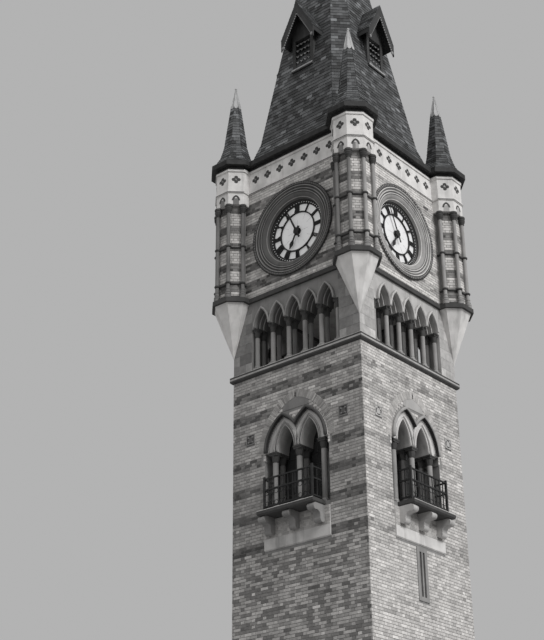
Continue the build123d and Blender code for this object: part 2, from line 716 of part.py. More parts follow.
# Cast dials: two rings and a rim joined by twelve bars, before a sheet of opal glass
hub_bore = HOUR_PIPE + ARBOR_GAP
with BuildPart() as dial_frame:
    with BuildSketch(Plane.XZ.offset(recess - DIAL_FRAME_THICK)):
        with Locations((0, DIAL_LEVEL)):
            Circle(SURROUND_INNER - DIAL_FIT)
            Circle(CHAPTER_OUTER, mode=Mode.SUBTRACT)
            Circle(CHAPTER_INNER + DIAL_RING / 2)
            Circle(CHAPTER_INNER - DIAL_RING / 2, mode=Mode.SUBTRACT)
            with PolarLocations((CHAPTER_INNER + CHAPTER_OUTER) / 2, 12):
                Rectangle(CHAPTER_OUTER - CHAPTER_INNER, DIAL_SPOKE)
            with PolarLocations(CHAPTER_INNER / 2, 4):
                Rectangle(CHAPTER_INNER, DIAL_SPOKE / 2)
            Circle(DIAL_HUB)
            Circle(hub_bore, mode=Mode.SUBTRACT)
    extrude(amount=DIAL_FRAME_THICK)
with BuildPart() as dial_frames:
    with PolarLocations(0, 4):
        add(dial_frame.part)
save(dial_frames, "dial_frames")

with BuildPart() as dial_panes:
    for plane in wall_planes(recess - DIAL_FRAME_THICK):
        with BuildSketch(plane):
            with Locations((0, DIAL_LEVEL)):
                Circle(DIAL_HOLE - DIAL_FIT)
                Circle(hub_bore, mode=Mode.SUBTRACT)
        extrude(amount=-DIAL_PANE_THICK)
save(dial_panes, "dial_panes")

# Hands: the hour hand on a pipe in the hub of the dial, the minute hand on an arbor in the pipe
hour_face = recess + HAND_GAP
minute_face = hour_face + HAND_THICK + HAND_GAP
pipe_back = recess - DIAL_FRAME_THICK - DIAL_PANE_THICK - ARBOR_TAIL
hour_angle = 360 * (HOURS + MINUTES / 60) / 12
minute_angle = 360 * MINUTES / 60


def hand_outline(reach, tail, hub, waist, belly, angle):
    """Blade that widens to `belly` near two thirds of its reach, with a counterpoise behind the hub."""
    with BuildSketch() as outline:
        with BuildLine():
            Polyline(
                (-waist, 0), (-waist, 0.5 * reach), (-belly, 0.66 * reach), (0, reach),
                (belly, 0.66 * reach), (waist, 0.5 * reach), (waist, 0),
                (1.8 * waist, -tail), (-1.8 * waist, -tail), close=True,
            )
        make_face()
        Circle(hub)
    return outline.sketch.rotate(Axis.Z, -angle)


hour_outline = hand_outline(HOUR_REACH, HOUR_TAIL, 62, 22, 62, hour_angle)
minute_outline = hand_outline(MINUTE_REACH, MINUTE_TAIL, 52, 17, 26, minute_angle)
for index, side in enumerate(SIDES):
    with BuildPart() as hour_hand:
        with BuildSketch(wall_planes(hour_face)[index]):
            with Locations((0, DIAL_LEVEL)):
                add(hour_outline)
        extrude(amount=HAND_THICK)
        with BuildSketch(wall_planes(pipe_back)[index]):
            with Locations((0, DIAL_LEVEL)):
                Circle(HOUR_PIPE)
        extrude(amount=hour_face + HAND_THICK - pipe_back)
        with BuildSketch(wall_planes(pipe_back)[index]):
            with Locations((0, DIAL_LEVEL)):
                Circle(MINUTE_ARBOR + ARBOR_GAP)
        extrude(amount=hour_face + HAND_THICK - pipe_back, mode=Mode.SUBTRACT)
    save(hour_hand, f"{side}_hour_hand")

    with BuildPart() as minute_hand:
        with BuildSketch(wall_planes(minute_face)[index]):
            with Locations((0, DIAL_LEVEL)):
                add(minute_outline)
        extrude(amount=HAND_THICK)
        with BuildSketch(wall_planes(pipe_back)[index]):
            with Locations((0, DIAL_LEVEL)):
                Circle(MINUTE_ARBOR)
        extrude(amount=minute_face - pipe_back)
    save(minute_hand, f"{side}_minute_hand")

# Frieze round the walls and turrets: string, plain band pierced with blind quatrefoils, moulding
with BuildSketch() as quatrefoil:
    with PolarLocations(QUATREFOIL_SPREAD, 4):
        Circle(QUATREFOIL_LOBE)
    Rectangle(QUATREFOIL_SPREAD, QUATREFOIL_SPREAD)
with BuildPart() as frieze:
    for level, height, proud in (
        (FRIEZE_LEVEL, FRIEZE_STRING, FRIEZE_PROUD),
        (FRIEZE_LEVEL + FRIEZE_STRING, FRIEZE_HEIGHT, 0),
        (FRIEZE_LEVEL + FRIEZE_STRING + FRIEZE_HEIGHT, FRIEZE_TOP, FRIEZE_PROUD),
    ):
        with BuildSketch(Plane.XY.offset(level)):
            Rectangle(2 * (HALF + proud), 2 * (HALF + proud))
            with Locations(*CORNERS):
                octagon(TURRET_FLAT + proud)
            Rectangle(2 * INNER, 2 * INNER, mode=Mode.SUBTRACT)
        extrude(amount=height)
    for plane in wall_planes(HALF):
        with BuildSketch(plane):
            with Locations((0, FRIEZE_LEVEL + FRIEZE_STRING + 0.6 * FRIEZE_HEIGHT)):
                with GridLocations(QUATREFOIL_BAY, 0, QUATREFOIL_COUNT, 1):
                    add(quatrefoil.sketch)
        extrude(amount=-QUATREFOIL_DEPTH, mode=Mode.SUBTRACT)
save(frieze, "frieze")

# Iron gutter round the eaves: a neck, then a trough that stands out beyond it
with BuildPart() as gutter:
    for level, height, out in (
        (GUTTER_LEVEL, GUTTER_NECK, 0),
        (GUTTER_LEVEL + GUTTER_NECK, GUTTER_HEIGHT, GUTTER_OUT),
    ):
        with BuildSketch(Plane.XY.offset(level)):
            Rectangle(2 * (HALF + out), 2 * (HALF + out))
            with Locations(*CORNERS):
                octagon(TURRET_FLAT + out)
            Rectangle(2 * INNER, 2 * INNER, mode=Mode.SUBTRACT)
        extrude(amount=height)
save(gutter, "gutter")


def spire_outline(height, inset=0.0):
    """Square with cut corners: the spire `height` above its foot, drawn `inset` inside its face."""
    half = SPIRE_HALF * (1 - height / SPIRE_RISE) - inset
    cut = CORNER_SHARE * half
    with BuildSketch() as outline:
        with BuildLine():
            Polyline(
                (half, -cut), (half, cut), (cut, half), (-cut, half),
                (-half, cut), (-half, -cut), (-cut, -half), (cut, -half), close=True,
            )
        make_face()
    return outline.sketch


# Slated spire: a filled form that the lucarnes and spirelets are cut back to, then the hollow roof
foot_outline = spire_outline(0, -FLARE_OUT)
flare_outline = spire_outline(FLARE_HEIGHT)
top_outline = spire_outline(SPIRE_CUT)
with BuildPart() as spire_form:
    with BuildSketch(Plane.XY.offset(SPIRE_LEVEL)):
        add(foot_outline)
    with BuildSketch(Plane.XY.offset(SPIRE_LEVEL + FLARE_HEIGHT)):
        add(flare_outline)
    loft()
    with BuildSketch(Plane.XY.offset(SPIRE_LEVEL + FLARE_HEIGHT)):
        add(flare_outline)
    with BuildSketch(Plane.XY.offset(SPIRE_LEVEL + SPIRE_CUT)):
        add(top_outline)
    loft()

inner_foot = spire_outline(0, SPIRE_SKIN)
inner_top = spire_outline(SPIRE_HOLLOW, SPIRE_SKIN)
lucarne_sill_level = SPIRE_LEVEL + LUCARNE_LEVEL
louvre_level = lucarne_sill_level + LUCARNE_SILL
with BuildPart() as spire_slopes:
    add(spire_form.part)
    with BuildSketch(Plane.XY.offset(SPIRE_LEVEL)):
        add(inner_foot)
    with BuildSketch(Plane.XY.offset(SPIRE_LEVEL + SPIRE_HOLLOW)):
        add(inner_top)
    loft(mode=Mode.SUBTRACT)
    for plane in wall_planes(0):
        with BuildSketch(plane):
            with Locations((0, louvre_level)):
                Rectangle(2 * LOUVRE_HALF, LOUVRE_HEIGHT, align=(Align.CENTER, Align.MIN))
        extrude(amount=HALF, mode=Mode.SUBTRACT)
save(spire_slopes, "spire_slopes")

# Lucarnes: cheeks and gable framing the louvres, a steep roof, and boards on its verge
roof_pitch = LUCARNE_ROOF_RISE / LUCARNE_ROOF_HALF
roof_drop = LUCARNE_ROOF_THICK * sqrt(1 + roof_pitch ** 2)
eaves = lucarne_sill_level + LUCARNE_EAVES
ridge = eaves + LUCARNE_ROOF_RISE
under_ridge = ridge - roof_drop
gable_foot = under_ridge - LUCARNE_HALF * roof_pitch
with BuildPart() as lucarne:
    with BuildSketch(Plane.XZ.offset(LUCARNE_FACE)):
        with BuildLine():
            Polyline(
                (-LUCARNE_HALF, lucarne_sill_level), (LUCARNE_HALF, lucarne_sill_level),
                (LUCARNE_HALF, gable_foot), (0, under_ridge), (-LUCARNE_HALF, gable_foot), close=True,
            )
        make_face()
        with Locations((0, louvre_level)):
            Rectangle(2 * LOUVRE_HALF, LOUVRE_HEIGHT, align=(Align.CENTER, Align.MIN), mode=Mode.SUBTRACT)
    extrude(amount=-LUCARNE_DEPTH)
    with BuildSketch(Plane.XZ.offset(LUCARNE_FACE)):
        with Locations((0, lucarne_sill_level)):
            Rectangle(2 * LUCARNE_HALF, LUCARNE_SILL, align=(Align.CENTER, Align.MIN))
    extrude(amount=LUCARNE_SILL_REACH)
    add(spire_form.part, mode=Mode.SUBTRACT)
with BuildPart() as lucarne_cheeks:
    with PolarLocations(0, 4):
        add(lucarne.part)
save(lucarne_cheeks, "lucarne_cheeks")

with BuildPart() as lucarne_roof:
    with BuildSketch(Plane.XZ.offset(LUCARNE_FACE + LUCARNE_ROOF_REACH)):
        with BuildLine():
            Polyline(
                (LUCARNE_ROOF_HALF, eaves), (0, ridge), (-LUCARNE_ROOF_HALF, eaves),
                (-LUCARNE_ROOF_HALF, eaves - roof_drop), (0, under_ridge),
                (LUCARNE_ROOF_HALF, eaves - roof_drop), close=True,
            )
        make_face()
    extrude(amount=-LUCARNE_FACE)
    add(spire_form.part, mode=Mode.SUBTRACT)
with BuildPart() as lucarne_roofs:
    with PolarLocations(0, 4):
        add(lucarne_roof.part)
save(lucarne_roofs, "lucarne_roofs")

board_drop = BARGEBOARD_WIDTH * sqrt(1 + roof_pitch ** 2)
with BuildPart() as bargeboards:
    for plane in wall_planes(LUCARNE_FACE + LUCARNE_ROOF_REACH):
        with BuildSketch(plane):
            with BuildLine():
                Polyline(
                    (LUCARNE_ROOF_HALF, eaves - roof_drop), (0, under_ridge),
                    (-LUCARNE_ROOF_HALF, eaves - roof_drop),
                    (-LUCARNE_ROOF_HALF, eaves - roof_drop - board_drop), (0, under_ridge - board_drop),
                    (LUCARNE_ROOF_HALF, eaves - roof_drop - board_drop), close=True,
                )
            make_face()
        extrude(amount=-BARGEBOARD_THICK)
save(bargeboards, "bargeboards")

louvre_bay = LOUVRE_HEIGHT / LOUVRE_COUNT
with BuildPart() as louvre:
    Box(2 * LOUVRE_HALF, LOUVRE_DEPTH, LOUVRE_THICK, rotation=(LOUVRE_TILT, 0, 0))
with BuildPart() as lucarne_louvres:
    for turn in TURNS:
        for row in range(LOUVRE_COUNT):
            with Locations(Location((0, 0, 0), (0, 0, turn))):
                with Locations((0, -LUCARNE_FACE + LOUVRE_DEPTH, louvre_level + (row + 0.5) * louvre_bay)):
                    add(louvre.part)
save(lucarne_louvres, "lucarne_louvres")

# Spirelets on the turrets, flared at the foot, each under a lead cap with a small ball
with BuildPart() as spirelets:
    for x, y in CORNERS:
        for foot, head in zip(range(5), range(1, 6)):
            with BuildSketch(Plane((x, y, SPIRE_LEVEL + SPIRELET_LEVELS[foot]))):
                octagon(SPIRELET_FLATS[foot])
            with BuildSketch(Plane((x, y, SPIRE_LEVEL + SPIRELET_LEVELS[head]))):
                octagon(SPIRELET_FLATS[head])
            loft()
    add(spire_form.part, mode=Mode.SUBTRACT)
save(spirelets, "spirelets")

spirelet_top = SPIRE_LEVEL + SPIRELET_LEVELS[-1]
with BuildPart() as spirelet_caps:
    for x, y in CORNERS:
        with BuildSketch(Plane((x, y, spirelet_top))):
            octagon(SPIRELET_CAP_FLAT)
        with BuildSketch(Plane((x, y, spirelet_top + SPIRELET_CAP_RISE))):
            octagon(SPIRELET_CAP_TIP)
        loft()
    with Locations(*[(x, y, spirelet_top + SPIRELET_CAP_RISE + 0.7 * SPIRELET_BALL) for x, y in CORNERS]):
        Sphere(SPIRELET_BALL)
save(spirelet_caps, "spirelet_caps")

spire_top = SPIRE_LEVEL + SPIRE_CUT
cap_foot = SPIRE_HALF * (1 - SPIRE_CUT / SPIRE_RISE) + CAP_LAP
with BuildPart() as spire_cap:
    with BuildSketch(Plane.XY.offset(spire_top)):
        octagon(cap_foot)
    with BuildSketch(Plane.XY.offset(spire_top + CAP_RISE)):
        octagon(FINIAL_RADIUS + CAP_LAP)
    loft()
save(spire_cap, "spire_cap")

with BuildPart() as finial:
    with BuildSketch(Plane.XY.offset(spire_top + CAP_RISE)):
        Circle(FINIAL_RADIUS)
    with BuildSketch(Plane.XY.offset(spire_top + CAP_RISE + FINIAL_RISE)):
        Circle(FINIAL_RADIUS / 3)
    loft()
    with Locations((0, 0, spire_top + CAP_RISE + FINIAL_RISE / 3)):
        Sphere(FINIAL_BALL)
save(finial, "finial")

# Carved stone plaques beside the heads of the windows, set into the brick
with BuildPart() as wall_plaques:
    for plane in wall_planes(HALF):
        with BuildSketch(plane):
            with Locations((-PLAQUE_OFFSET, PLAQUE_LEVEL), (PLAQUE_OFFSET, PLAQUE_LEVEL)):
                Rectangle(PLAQUE_SIZE, PLAQUE_SIZE)
        extrude(amount=PLAQUE_PROUD)
save(wall_plaques, "wall_plaques")
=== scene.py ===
# %% [markdown]
# A tall clock tower, drawn around its CAD frame. The frame holds the walls, floors, mouldings and
# hands at their real size. This lesson lays the bricks, slates, ironwork and carving on it, one
# storey at a time, and gives every surface a finish of its own. Everything is in metres.

import bpy
import numpy as np
from mathutils import Matrix, Vector


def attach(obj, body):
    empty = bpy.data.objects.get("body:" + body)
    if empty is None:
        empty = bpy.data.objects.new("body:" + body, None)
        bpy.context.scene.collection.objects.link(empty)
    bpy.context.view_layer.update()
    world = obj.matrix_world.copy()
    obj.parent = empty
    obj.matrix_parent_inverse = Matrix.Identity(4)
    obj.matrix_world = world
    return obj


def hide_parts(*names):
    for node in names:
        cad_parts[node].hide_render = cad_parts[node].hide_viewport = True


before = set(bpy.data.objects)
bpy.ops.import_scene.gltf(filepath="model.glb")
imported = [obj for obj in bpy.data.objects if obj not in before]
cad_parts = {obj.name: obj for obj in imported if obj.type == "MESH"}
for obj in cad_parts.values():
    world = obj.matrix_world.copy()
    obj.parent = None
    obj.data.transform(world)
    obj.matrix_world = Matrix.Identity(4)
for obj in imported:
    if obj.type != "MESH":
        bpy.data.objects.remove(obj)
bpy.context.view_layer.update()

# %% [markdown]
# The photograph was taken from the street, looking steeply up at the corner between two faces.
# A camera can be matched to a picture by solving for its place, its pitch and its roll from points
# whose real places are known. The values below came out of such a solve, so they are used as they
# are: where the camera stands, which way it points, and a lens in millimetres on a 36 mm sensor.

# %% Camera
CAMERA_PLACE = (19.20, -25.39, 1.564)
HEADING, PITCH, ROLL = np.radians((40.593, 26.54, -0.42))
LENS = 73.26


def camera_axes(heading, pitch, roll):
    """Right, up and back of a camera: heading turns about the vertical, pitch lifts, roll tips."""
    ahead = np.array((-np.sin(heading) * np.cos(pitch), np.cos(heading) * np.cos(pitch), np.sin(pitch)))
    level = np.array((np.cos(heading), np.sin(heading), 0))
    above = np.cross(level, ahead)
    right = level * np.cos(roll) + above * np.sin(roll)
    up = above * np.cos(roll) - level * np.sin(roll)
    return right, up, -ahead


def add_object(name, data):
    """An object with that data, in the scene."""
    thing = bpy.data.objects.new(name, data)
    bpy.context.scene.collection.objects.link(thing)
    return thing


camera = add_object("street_camera", bpy.data.cameras.new("street_camera"))
bpy.context.scene.camera = camera
camera.matrix_world = Matrix.Translation(CAMERA_PLACE) @ Matrix(
    np.column_stack(camera_axes(HEADING, PITCH, ROLL)).tolist()
).to_4x4()
camera.data.lens = LENS
camera.data.clip_end = 500

# %% [markdown]
# Light and finishes are small trees of nodes. A few helpers keep them short: one adds a node and
# links or sets its sockets in one go, and others wrap the nodes that come back most. Noise reads
# Object coordinates, which are metres on the tower itself, so a grain keeps its true size.


# %% Helpers for node trees
def add_node(tree, kind, sockets=(), **settings):
    """One node: settings are its menus, sockets are values to set or outputs to link."""
    node = tree.nodes.new(kind)
    for key, value in settings.items():
        setattr(node, key, value)
    for key, value in dict(sockets).items():
        if isinstance(value, bpy.types.NodeSocket):
            tree.links.new(value, node.inputs[key])
        else:
            node.inputs[key].default_value = value
    return node


def worked(tree, operation, *values):
    """The result of one sum on values or outputs."""
    return add_node(tree, "ShaderNodeMath", dict(enumerate(values)), operation=operation).outputs[0]


def remap(tree, value, low, high, out_low=0.0, out_high=1.0):
    """A value between low and high spread over the output range and clamped there."""
    return add_node(tree, "ShaderNodeMapRange", {
        "Value": value, "From Min": low, "From Max": high, "To Min": out_low, "To Max": out_high,
    }).outputs[0]


def position(tree, kind):
    """The three numbers of a place or a direction, of that kind."""
    return add_node(tree, "ShaderNodeSeparateXYZ", {0: add_node(tree, "ShaderNodeTexCoord").outputs[kind]}).outputs


def cloud(tree, scale, detail=3.0, stretch=(1, 1, 1)):
    """Noise in object space with `scale` blotches to a metre, stretched along each axis."""
    place = add_node(tree, "ShaderNodeTexCoord").outputs["Object"]
    spread = add_node(tree, "ShaderNodeMapping", {"Vector": place, "Scale": [scale / s for s in stretch]})
    return add_node(
        tree, "ShaderNodeTexNoise", {"Vector": spread.outputs[0], "Scale": 1.0, "Detail": detail}
    ).outputs["Fac"]


def grey(level, warmth=0.0):
    """A near-neutral colour: warmth above nought leans to buff, below nought to blue."""
    return (level * (1 + warmth), level, level * (1 - warmth), 1)


def blend_colours(tree, share, low, high):
    """Two colours mixed by a share from nought to one."""
    return add_node(tree, "ShaderNodeMix", {0: share, 6: low, 7: high}, data_type="RGBA").outputs[2]


# %% [markdown]
# The light in the photograph is soft and comes from the right, so the right face is pale and the
# left face is about half as bright. One wide sun does that, over a sky that is paler overhead, so
# that ledges are lit and the hollows under them are not. The backdrop is the world's own colour as
# the camera sees it, so it adds no light to the tower.

# %% Light and backdrop
SUN_STRENGTH = 2.35
SUN_WIDTH = np.radians(25)
SUN_FROM = (1.0, -0.14, 0.62)
SKY_LOW, SKY_HIGH = 0.42, 1.0
BACKDROP = 0.45

sun = add_object("wide_sun", bpy.data.lights.new("wide_sun", "SUN"))
sun.data.energy = SUN_STRENGTH
sun.data.angle = SUN_WIDTH
sun.rotation_mode = "QUATERNION"
sun.rotation_quaternion = Vector(SUN_FROM).to_track_quat("Z", "Y")

bpy.context.scene.view_settings.view_transform = "Standard"
world = bpy.data.worlds.new("studio")
bpy.context.scene.world = world
world.use_nodes = True
sky = world.node_tree
sky.nodes.clear()
path = add_node(sky, "ShaderNodeLightPath").outputs
seen = worked(sky, "MAXIMUM", path["Is Camera Ray"], path["Is Glossy Ray"])
seen = worked(sky, "MAXIMUM", seen, path["Is Transmission Ray"])
strength = remap(sky, position(sky, "Generated")["Z"], 0.0, 1.0, SKY_LOW, SKY_HIGH)
ambient = add_node(sky, "ShaderNodeBackground", {"Color": grey(1), "Strength": strength})
backdrop = add_node(sky, "ShaderNodeBackground", {"Color": grey(BACKDROP)})
either = add_node(sky, "ShaderNodeMixShader", {0: seen, 1: ambient.outputs[0], 2: backdrop.outputs[0]})
add_node(sky, "ShaderNodeOutputWorld", {"Surface": either.outputs[0]})

# %% [markdown]
# Brick, stone and slate are all weathered minerals, and differ in colour, grain and gloss. Every
# brick and slate is its own little block, and a number stored on its faces, its tint, says how
# pale it is. That is how courses of pale and dark brick come from one material. Dressed stone has
# one level of grey, rain streaks, and painted shade by place: darker on the walls out of the sun,
# in front and behind, and darker deep in the openings.


# %% Finishes of masonry and roof
def new_finish(name, roughness, metallic=0.0):
    """A material with its tree and its main shader."""
    material = bpy.data.materials.new(name)
    material.use_nodes = True
    shader = material.node_tree.nodes["Principled BSDF"]
    shader.inputs["Roughness"].default_value = roughness
    shader.inputs["Metallic"].default_value = metallic
    return material, material.node_tree, shader


def roughen(tree, shader, height, depth, strength=0.6):
    """Bump of `depth` metres from a height between nought and one."""
    bump = add_node(tree, "ShaderNodeBump", {"Height": height, "Distance": depth, "Strength": strength})
    tree.links.new(bump.outputs[0], shader.inputs["Normal"])


def darken(tree, shader, colour, *shares):
    """The main colour: a colour times the product of several shares."""
    product = shares[0]
    for share in shares[1:]:
        product = worked(tree, "MULTIPLY", product, share)
    worn = add_node(tree, "ShaderNodeVectorMath", {0: colour, "Scale": product}, operation="SCALE")
    tree.links.new(worn.outputs[0], shader.inputs["Base Color"])


def laid_finish(name, dark, pale, roughness, warmth, grain):
    """Blocks that carry a tint: dark at nought, pale at one, with blotches and a sandy face."""
    material, tree, shader = new_finish(name, roughness)
    tint = add_node(tree, "ShaderNodeAttribute", attribute_name="tint").outputs["Fac"]
    base = blend_colours(tree, tint, grey(dark, warmth), grey(pale, warmth))
    blotch = remap(tree, cloud(tree, 9.0, 4.0), 0.3, 0.7, 0.82, 1.1)
    streak = remap(tree, cloud(tree, 2.2, 3.0, (1, 1, 6)), 0.35, 0.7, 1.06, 0.84)
    darken(tree, shader, base, blotch, streak)
    roughen(tree, shader, cloud(tree, grain, 4.0), 0.004)
    return material


def stone_finish(name, level, soot, shaded_side=1.0, hollow=1.0):
    """Dressed stone: sandy grain, soft blotches, rain streaks that darken to `soot`, and painted shade by place.

    The larger of |x| and |y| is the depth of a point in its wall, and says which pair of walls it is on.
    Painted shade darkens the front and back walls, out of the sun, and points deep in the openings by `hollow`.
    """
    material, tree, shader = new_finish(name, 0.88)
    place = position(tree, "Object")
    across, along = (worked(tree, "ABSOLUTE", place[axis]) for axis in "XY")
    turned, deep = (worked(tree, kind, along, across) for kind in ("SUBTRACT", "MAXIMUM"))
    darken(
        tree, shader, grey(level, STONE_WARMTH)[:3],
        remap(tree, cloud(tree, 3.0, 5.0), 0.3, 0.7, 0.84, 1.1),
        remap(tree, cloud(tree, 5.0, 4.0, (1, 1, 7)), 0.52, 0.78, 1.0, soot),
        worked(
            tree, "MULTIPLY", remap(tree, turned, -0.02, 0.02, 1.0, shaded_side), remap(tree, deep, 1.72, 2.06, hollow, 1.0)
        ),
    )
    roughen(tree, shader, cloud(tree, 70.0, 5.0), 0.003)
    return material


STONE_WARMTH = 0.02
LAID = {
    "banded_brick": (0.07, 0.64, 0.92, 0.03, 60.0),
    "roof_slate": (0.018, 0.20, 0.62, -0.03, 45.0),
    "ashlar_blocks": (0.14, 0.56, 0.88, 0.02, 70.0),
    "weathered_ashlar": (0.26, 0.50, 0.92, 0.02, 50.0),
}
# The last two numbers of a stone row are painted shade: how much of its brightness a stone keeps on the front and back
# walls, out of the sun, and deep in the openings.
STONES = {
    "lime_mortar": (0.20, 0.8), "dressed_stone": (0.62, 0.66), "carved_stone": (0.56, 0.5, 0.85, 0.5),
    "belfry_stone": (0.42, 0.6, 0.5, 0.4), "belfry_rolls": (0.52, 0.6, 0.6, 0.6), "hood_stone": (0.30, 0.6, 0.2),
    "shaft_stone": (0.28, 0.6, 0.9, 0.5), "turret_stone": (0.27, 0.5, 0.55), "moulded_dial_stone": (0.28, 0.6, 0.36),
    "crest_highlight_stone": (0.62, 0.7, 0.45), "painted_groove_shade": (0.02, 0.8), "soot_and_shade_stone": (0.05, 0.6),
    "grey_stone": (0.36, 0.7, 0.5), "slit_stone": (0.24, 0.7), "plaque_stone": (0.40, 0.7, 0.22),
    "bracket_stone": (0.42, 0.6, 0.55), "plinth_stone": (0.42, 0.6), "floor_stone": (0.34, 0.6),
}
# The near-black stone is painted shade on the frieze lines, the arcade grooves, the quatrefoils, the blind arches and
# the turret collars; the capitals, strings, turret feet and balcony slabs take it as well.
finishes = {name: laid_finish(name, *row) for name, row in LAID.items()}
finishes.update({name: stone_finish(name, *row) for name, row in STONES.items()})

# %% [markdown]
# Iron on a building is painted black and gathers dust where rain leaves it. Lead turns a pale, dull
# grey. The dials and their minute dots are opal glass with a small painted glow, so they are
# brighter than the daylight makes them. The windows are dark glass. Timber is painted, and its
# grain runs up the board.


# %% Finishes of metal, glass and timber
def painted_finish(name, level, roughness, dust, grain=30.0, metallic=0.0):
    """A coat of `level` grey, mottled towards `dust`, over a slightly uneven ground."""
    material, tree, shader = new_finish(name, roughness, metallic)
    share = remap(tree, cloud(tree, grain / 4, 5.0), 0.45, 0.8)
    tree.links.new(blend_colours(tree, share, grey(level), grey(dust)), shader.inputs["Base Color"])
    roughen(tree, shader, cloud(tree, grain * 4, 3.0), 0.0008)
    return material


def timber_finish(name, level, worn):
    """Painted boards: long grain along the upright, paint thinned to `worn` in places."""
    material, tree, shader = new_finish(name, 0.6)
    share = remap(tree, cloud(tree, 8.0, 5.0, (1, 1, 3)), 0.5, 0.8)
    tree.links.new(blend_colours(tree, share, grey(level), grey(worn)), shader.inputs["Base Color"])
    roughen(tree, shader, cloud(tree, 60.0, 4.0, (1, 1, 14)), 0.002)
    return material


COATS = {
    "black_ironwork": (0.010, 0.7, 0.025), "painted_gutter": (0.012, 0.7, 0.03),
    "sheet_lead": (0.40, 0.55, 0.26, 14.0, 0.2), "opal_glass": (0.66, 0.3, 0.60, 3.0),
    "dark_window_glass": (0.035, 0.12, 0.06, 6.0),
}
TIMBERS = {"painted_timber": (0.022, 0.05), "pale_timber": (0.30, 0.2), "louvre_timber": (0.20, 0.28)}
PAINTED_GLOW = 0.16
finishes.update({name: painted_finish(name, *row) for name, row in COATS.items()})
finishes.update({name: timber_finish(name, *row) for name, row in TIMBERS.items()})
# The opal glass glows a little though it is no lamp: a painted glow.
opal = finishes["opal_glass"].node_tree.nodes["Principled BSDF"].inputs
opal["Emission Color"].default_value = grey(0.9)
opal["Emission Strength"].default_value = PAINTED_GLOW

# %% [markdown]
# The CAD nodes keep their shapes and take these finishes. Where a later cell lays a finer piece
# over a node, the node still carries it, as the wall carries its bricks.

# %% Finishes on the CAD nodes
SIDES = ("front", "right", "back", "left")
NODE_FINISHES = {
    "lime_mortar": ("lower_shaft", "window_stage", "clock_walls", "turret_cores"),
    "plinth_stone": ("plinth", "door_surround"),
    "dressed_stone": ("turret_corbels", "turret_heads", "frieze", "balcony_brackets", "arcade_sills"),
    "carved_stone": ("apron_panels", "window_heads"),
    "belfry_stone": ("corner_piers", "arcade_heads"),
    "moulded_dial_stone": ("dial_surrounds",),
    "slit_stone": ("slit_surrounds",),
    "plaque_stone": ("wall_plaques",),
    "soot_and_shade_stone": ("string_course", "stage_string", "balcony_slabs"),
    "shaft_stone": ("window_columns", "arcade_columns", "turret_colonnettes"),
    "floor_stone": ("ground_floor", "upper_floors"),
    "roof_slate": ("spire_slopes", "spirelets", "lucarne_roofs"),
    "sheet_lead": ("spirelet_caps", "spire_cap"),
    "painted_gutter": ("gutter",),
    "black_ironwork": (
        "railing_fronts", "railing_returns", "dial_frames", "finial",
        *(f"{side}_{hand}_hand" for side in SIDES for hand in ("hour", "minute")),
    ),
    "opal_glass": ("dial_panes",),
    "dark_window_glass": ("window_panes",),
    "painted_timber": ("door_leaf", "window_casements", "lucarne_cheeks", "bargeboards"),
    "louvre_timber": ("lucarne_louvres",),
}
for finish, names in NODE_FINISHES.items():
    for name in names:
        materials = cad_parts[name].data.materials
        materials.clear()
        materials.append(finishes[finish])
print("CAD nodes finished:", sum(map(len, NODE_FINISHES.values())))

# %% [markdown]
# Most pieces repeat on four sides, so they are worked out once on a wall and turned. A wall point
# has three numbers: how far along the wall, how high, and how far out from the axis of the tower.
# `WALLS` holds the direction along each wall and the direction out of it. A shape is a pair of
# arrays, its points and its four-sided faces, and the helpers take and give such pairs.

# %% Walls, levels and shapes
WALLS = (((1, 0), (0, -1)), ((0, 1), (1, 0)), ((-1, 0), (0, 1)), ((0, -1), (-1, 0)))
HALF = 2.1
CORNERS = ((HALF, -HALF), (HALF, HALF), (-HALF, HALF), (-HALF, -HALF))
FLATS = [
    (corner, np.radians(-45 + 90 * index + 45 * flat)) for index, corner in enumerate(CORNERS) for flat in range(-2, 3)
]
SHAFT_FOOT, BALCONY_LEVEL, WINDOW_SPRING, STRING_LEVEL = 1.2, 11.54, 13.19, 15.415
CLOCK_LEVEL, DIAL_LEVEL, TURRET_HEAD, FRIEZE_FOOT, SPIRE_LEVEL = 17.726, 19.377, 20.666, 21.044, 22.055
SLOTS = {
    "banded_brick": "brick", "roof_slate": "slate", "sheet_lead": "lead", "black_ironwork": "iron",
    "opal_glass": "opal_glass", **dict.fromkeys(TIMBERS, "painted_timber"),
}
laid = []


def on_wall(points, wall):
    """Wall points (along, up, out) as tower points: along and out each times its direction, summed."""
    (ax, ay), (ox, oy) = WALLS[wall]
    along, up, out = points[..., 0], points[..., 1], points[..., 2]
    return np.stack((along * ax + out * ox, along * ay + out * oy, up), -1)


def on_flat(shape, corner, way):
    """A shape on a turret's flat that faces `way`, with out measured from the corner of the tower."""
    points, faces = shape
    across, out = np.array((-np.sin(way), np.cos(way))), np.array((np.cos(way), np.sin(way)))
    return np.column_stack((points[:, :1] * across + points[:, 2:] * out + corner, points[:, 1])), faces


def join_parts(parts):
    """Several shapes as one, each part's faces counted on from the points before."""
    starts = np.cumsum([0] + [len(points) for points, _ in parts[:-1]])
    return (
        np.concatenate([points for points, _ in parts]),
        np.concatenate([faces + start for (_, faces), start in zip(parts, starts)]),
    )


def on_walls(*parts):
    """Shapes joined and laid on all four walls."""
    points, faces = join_parts(parts)
    return join_parts([(on_wall(points, wall), faces) for wall in range(4)])


def shifted(shape, *offset):
    """A shape moved by three distances."""
    points, faces = shape
    return points + offset, faces


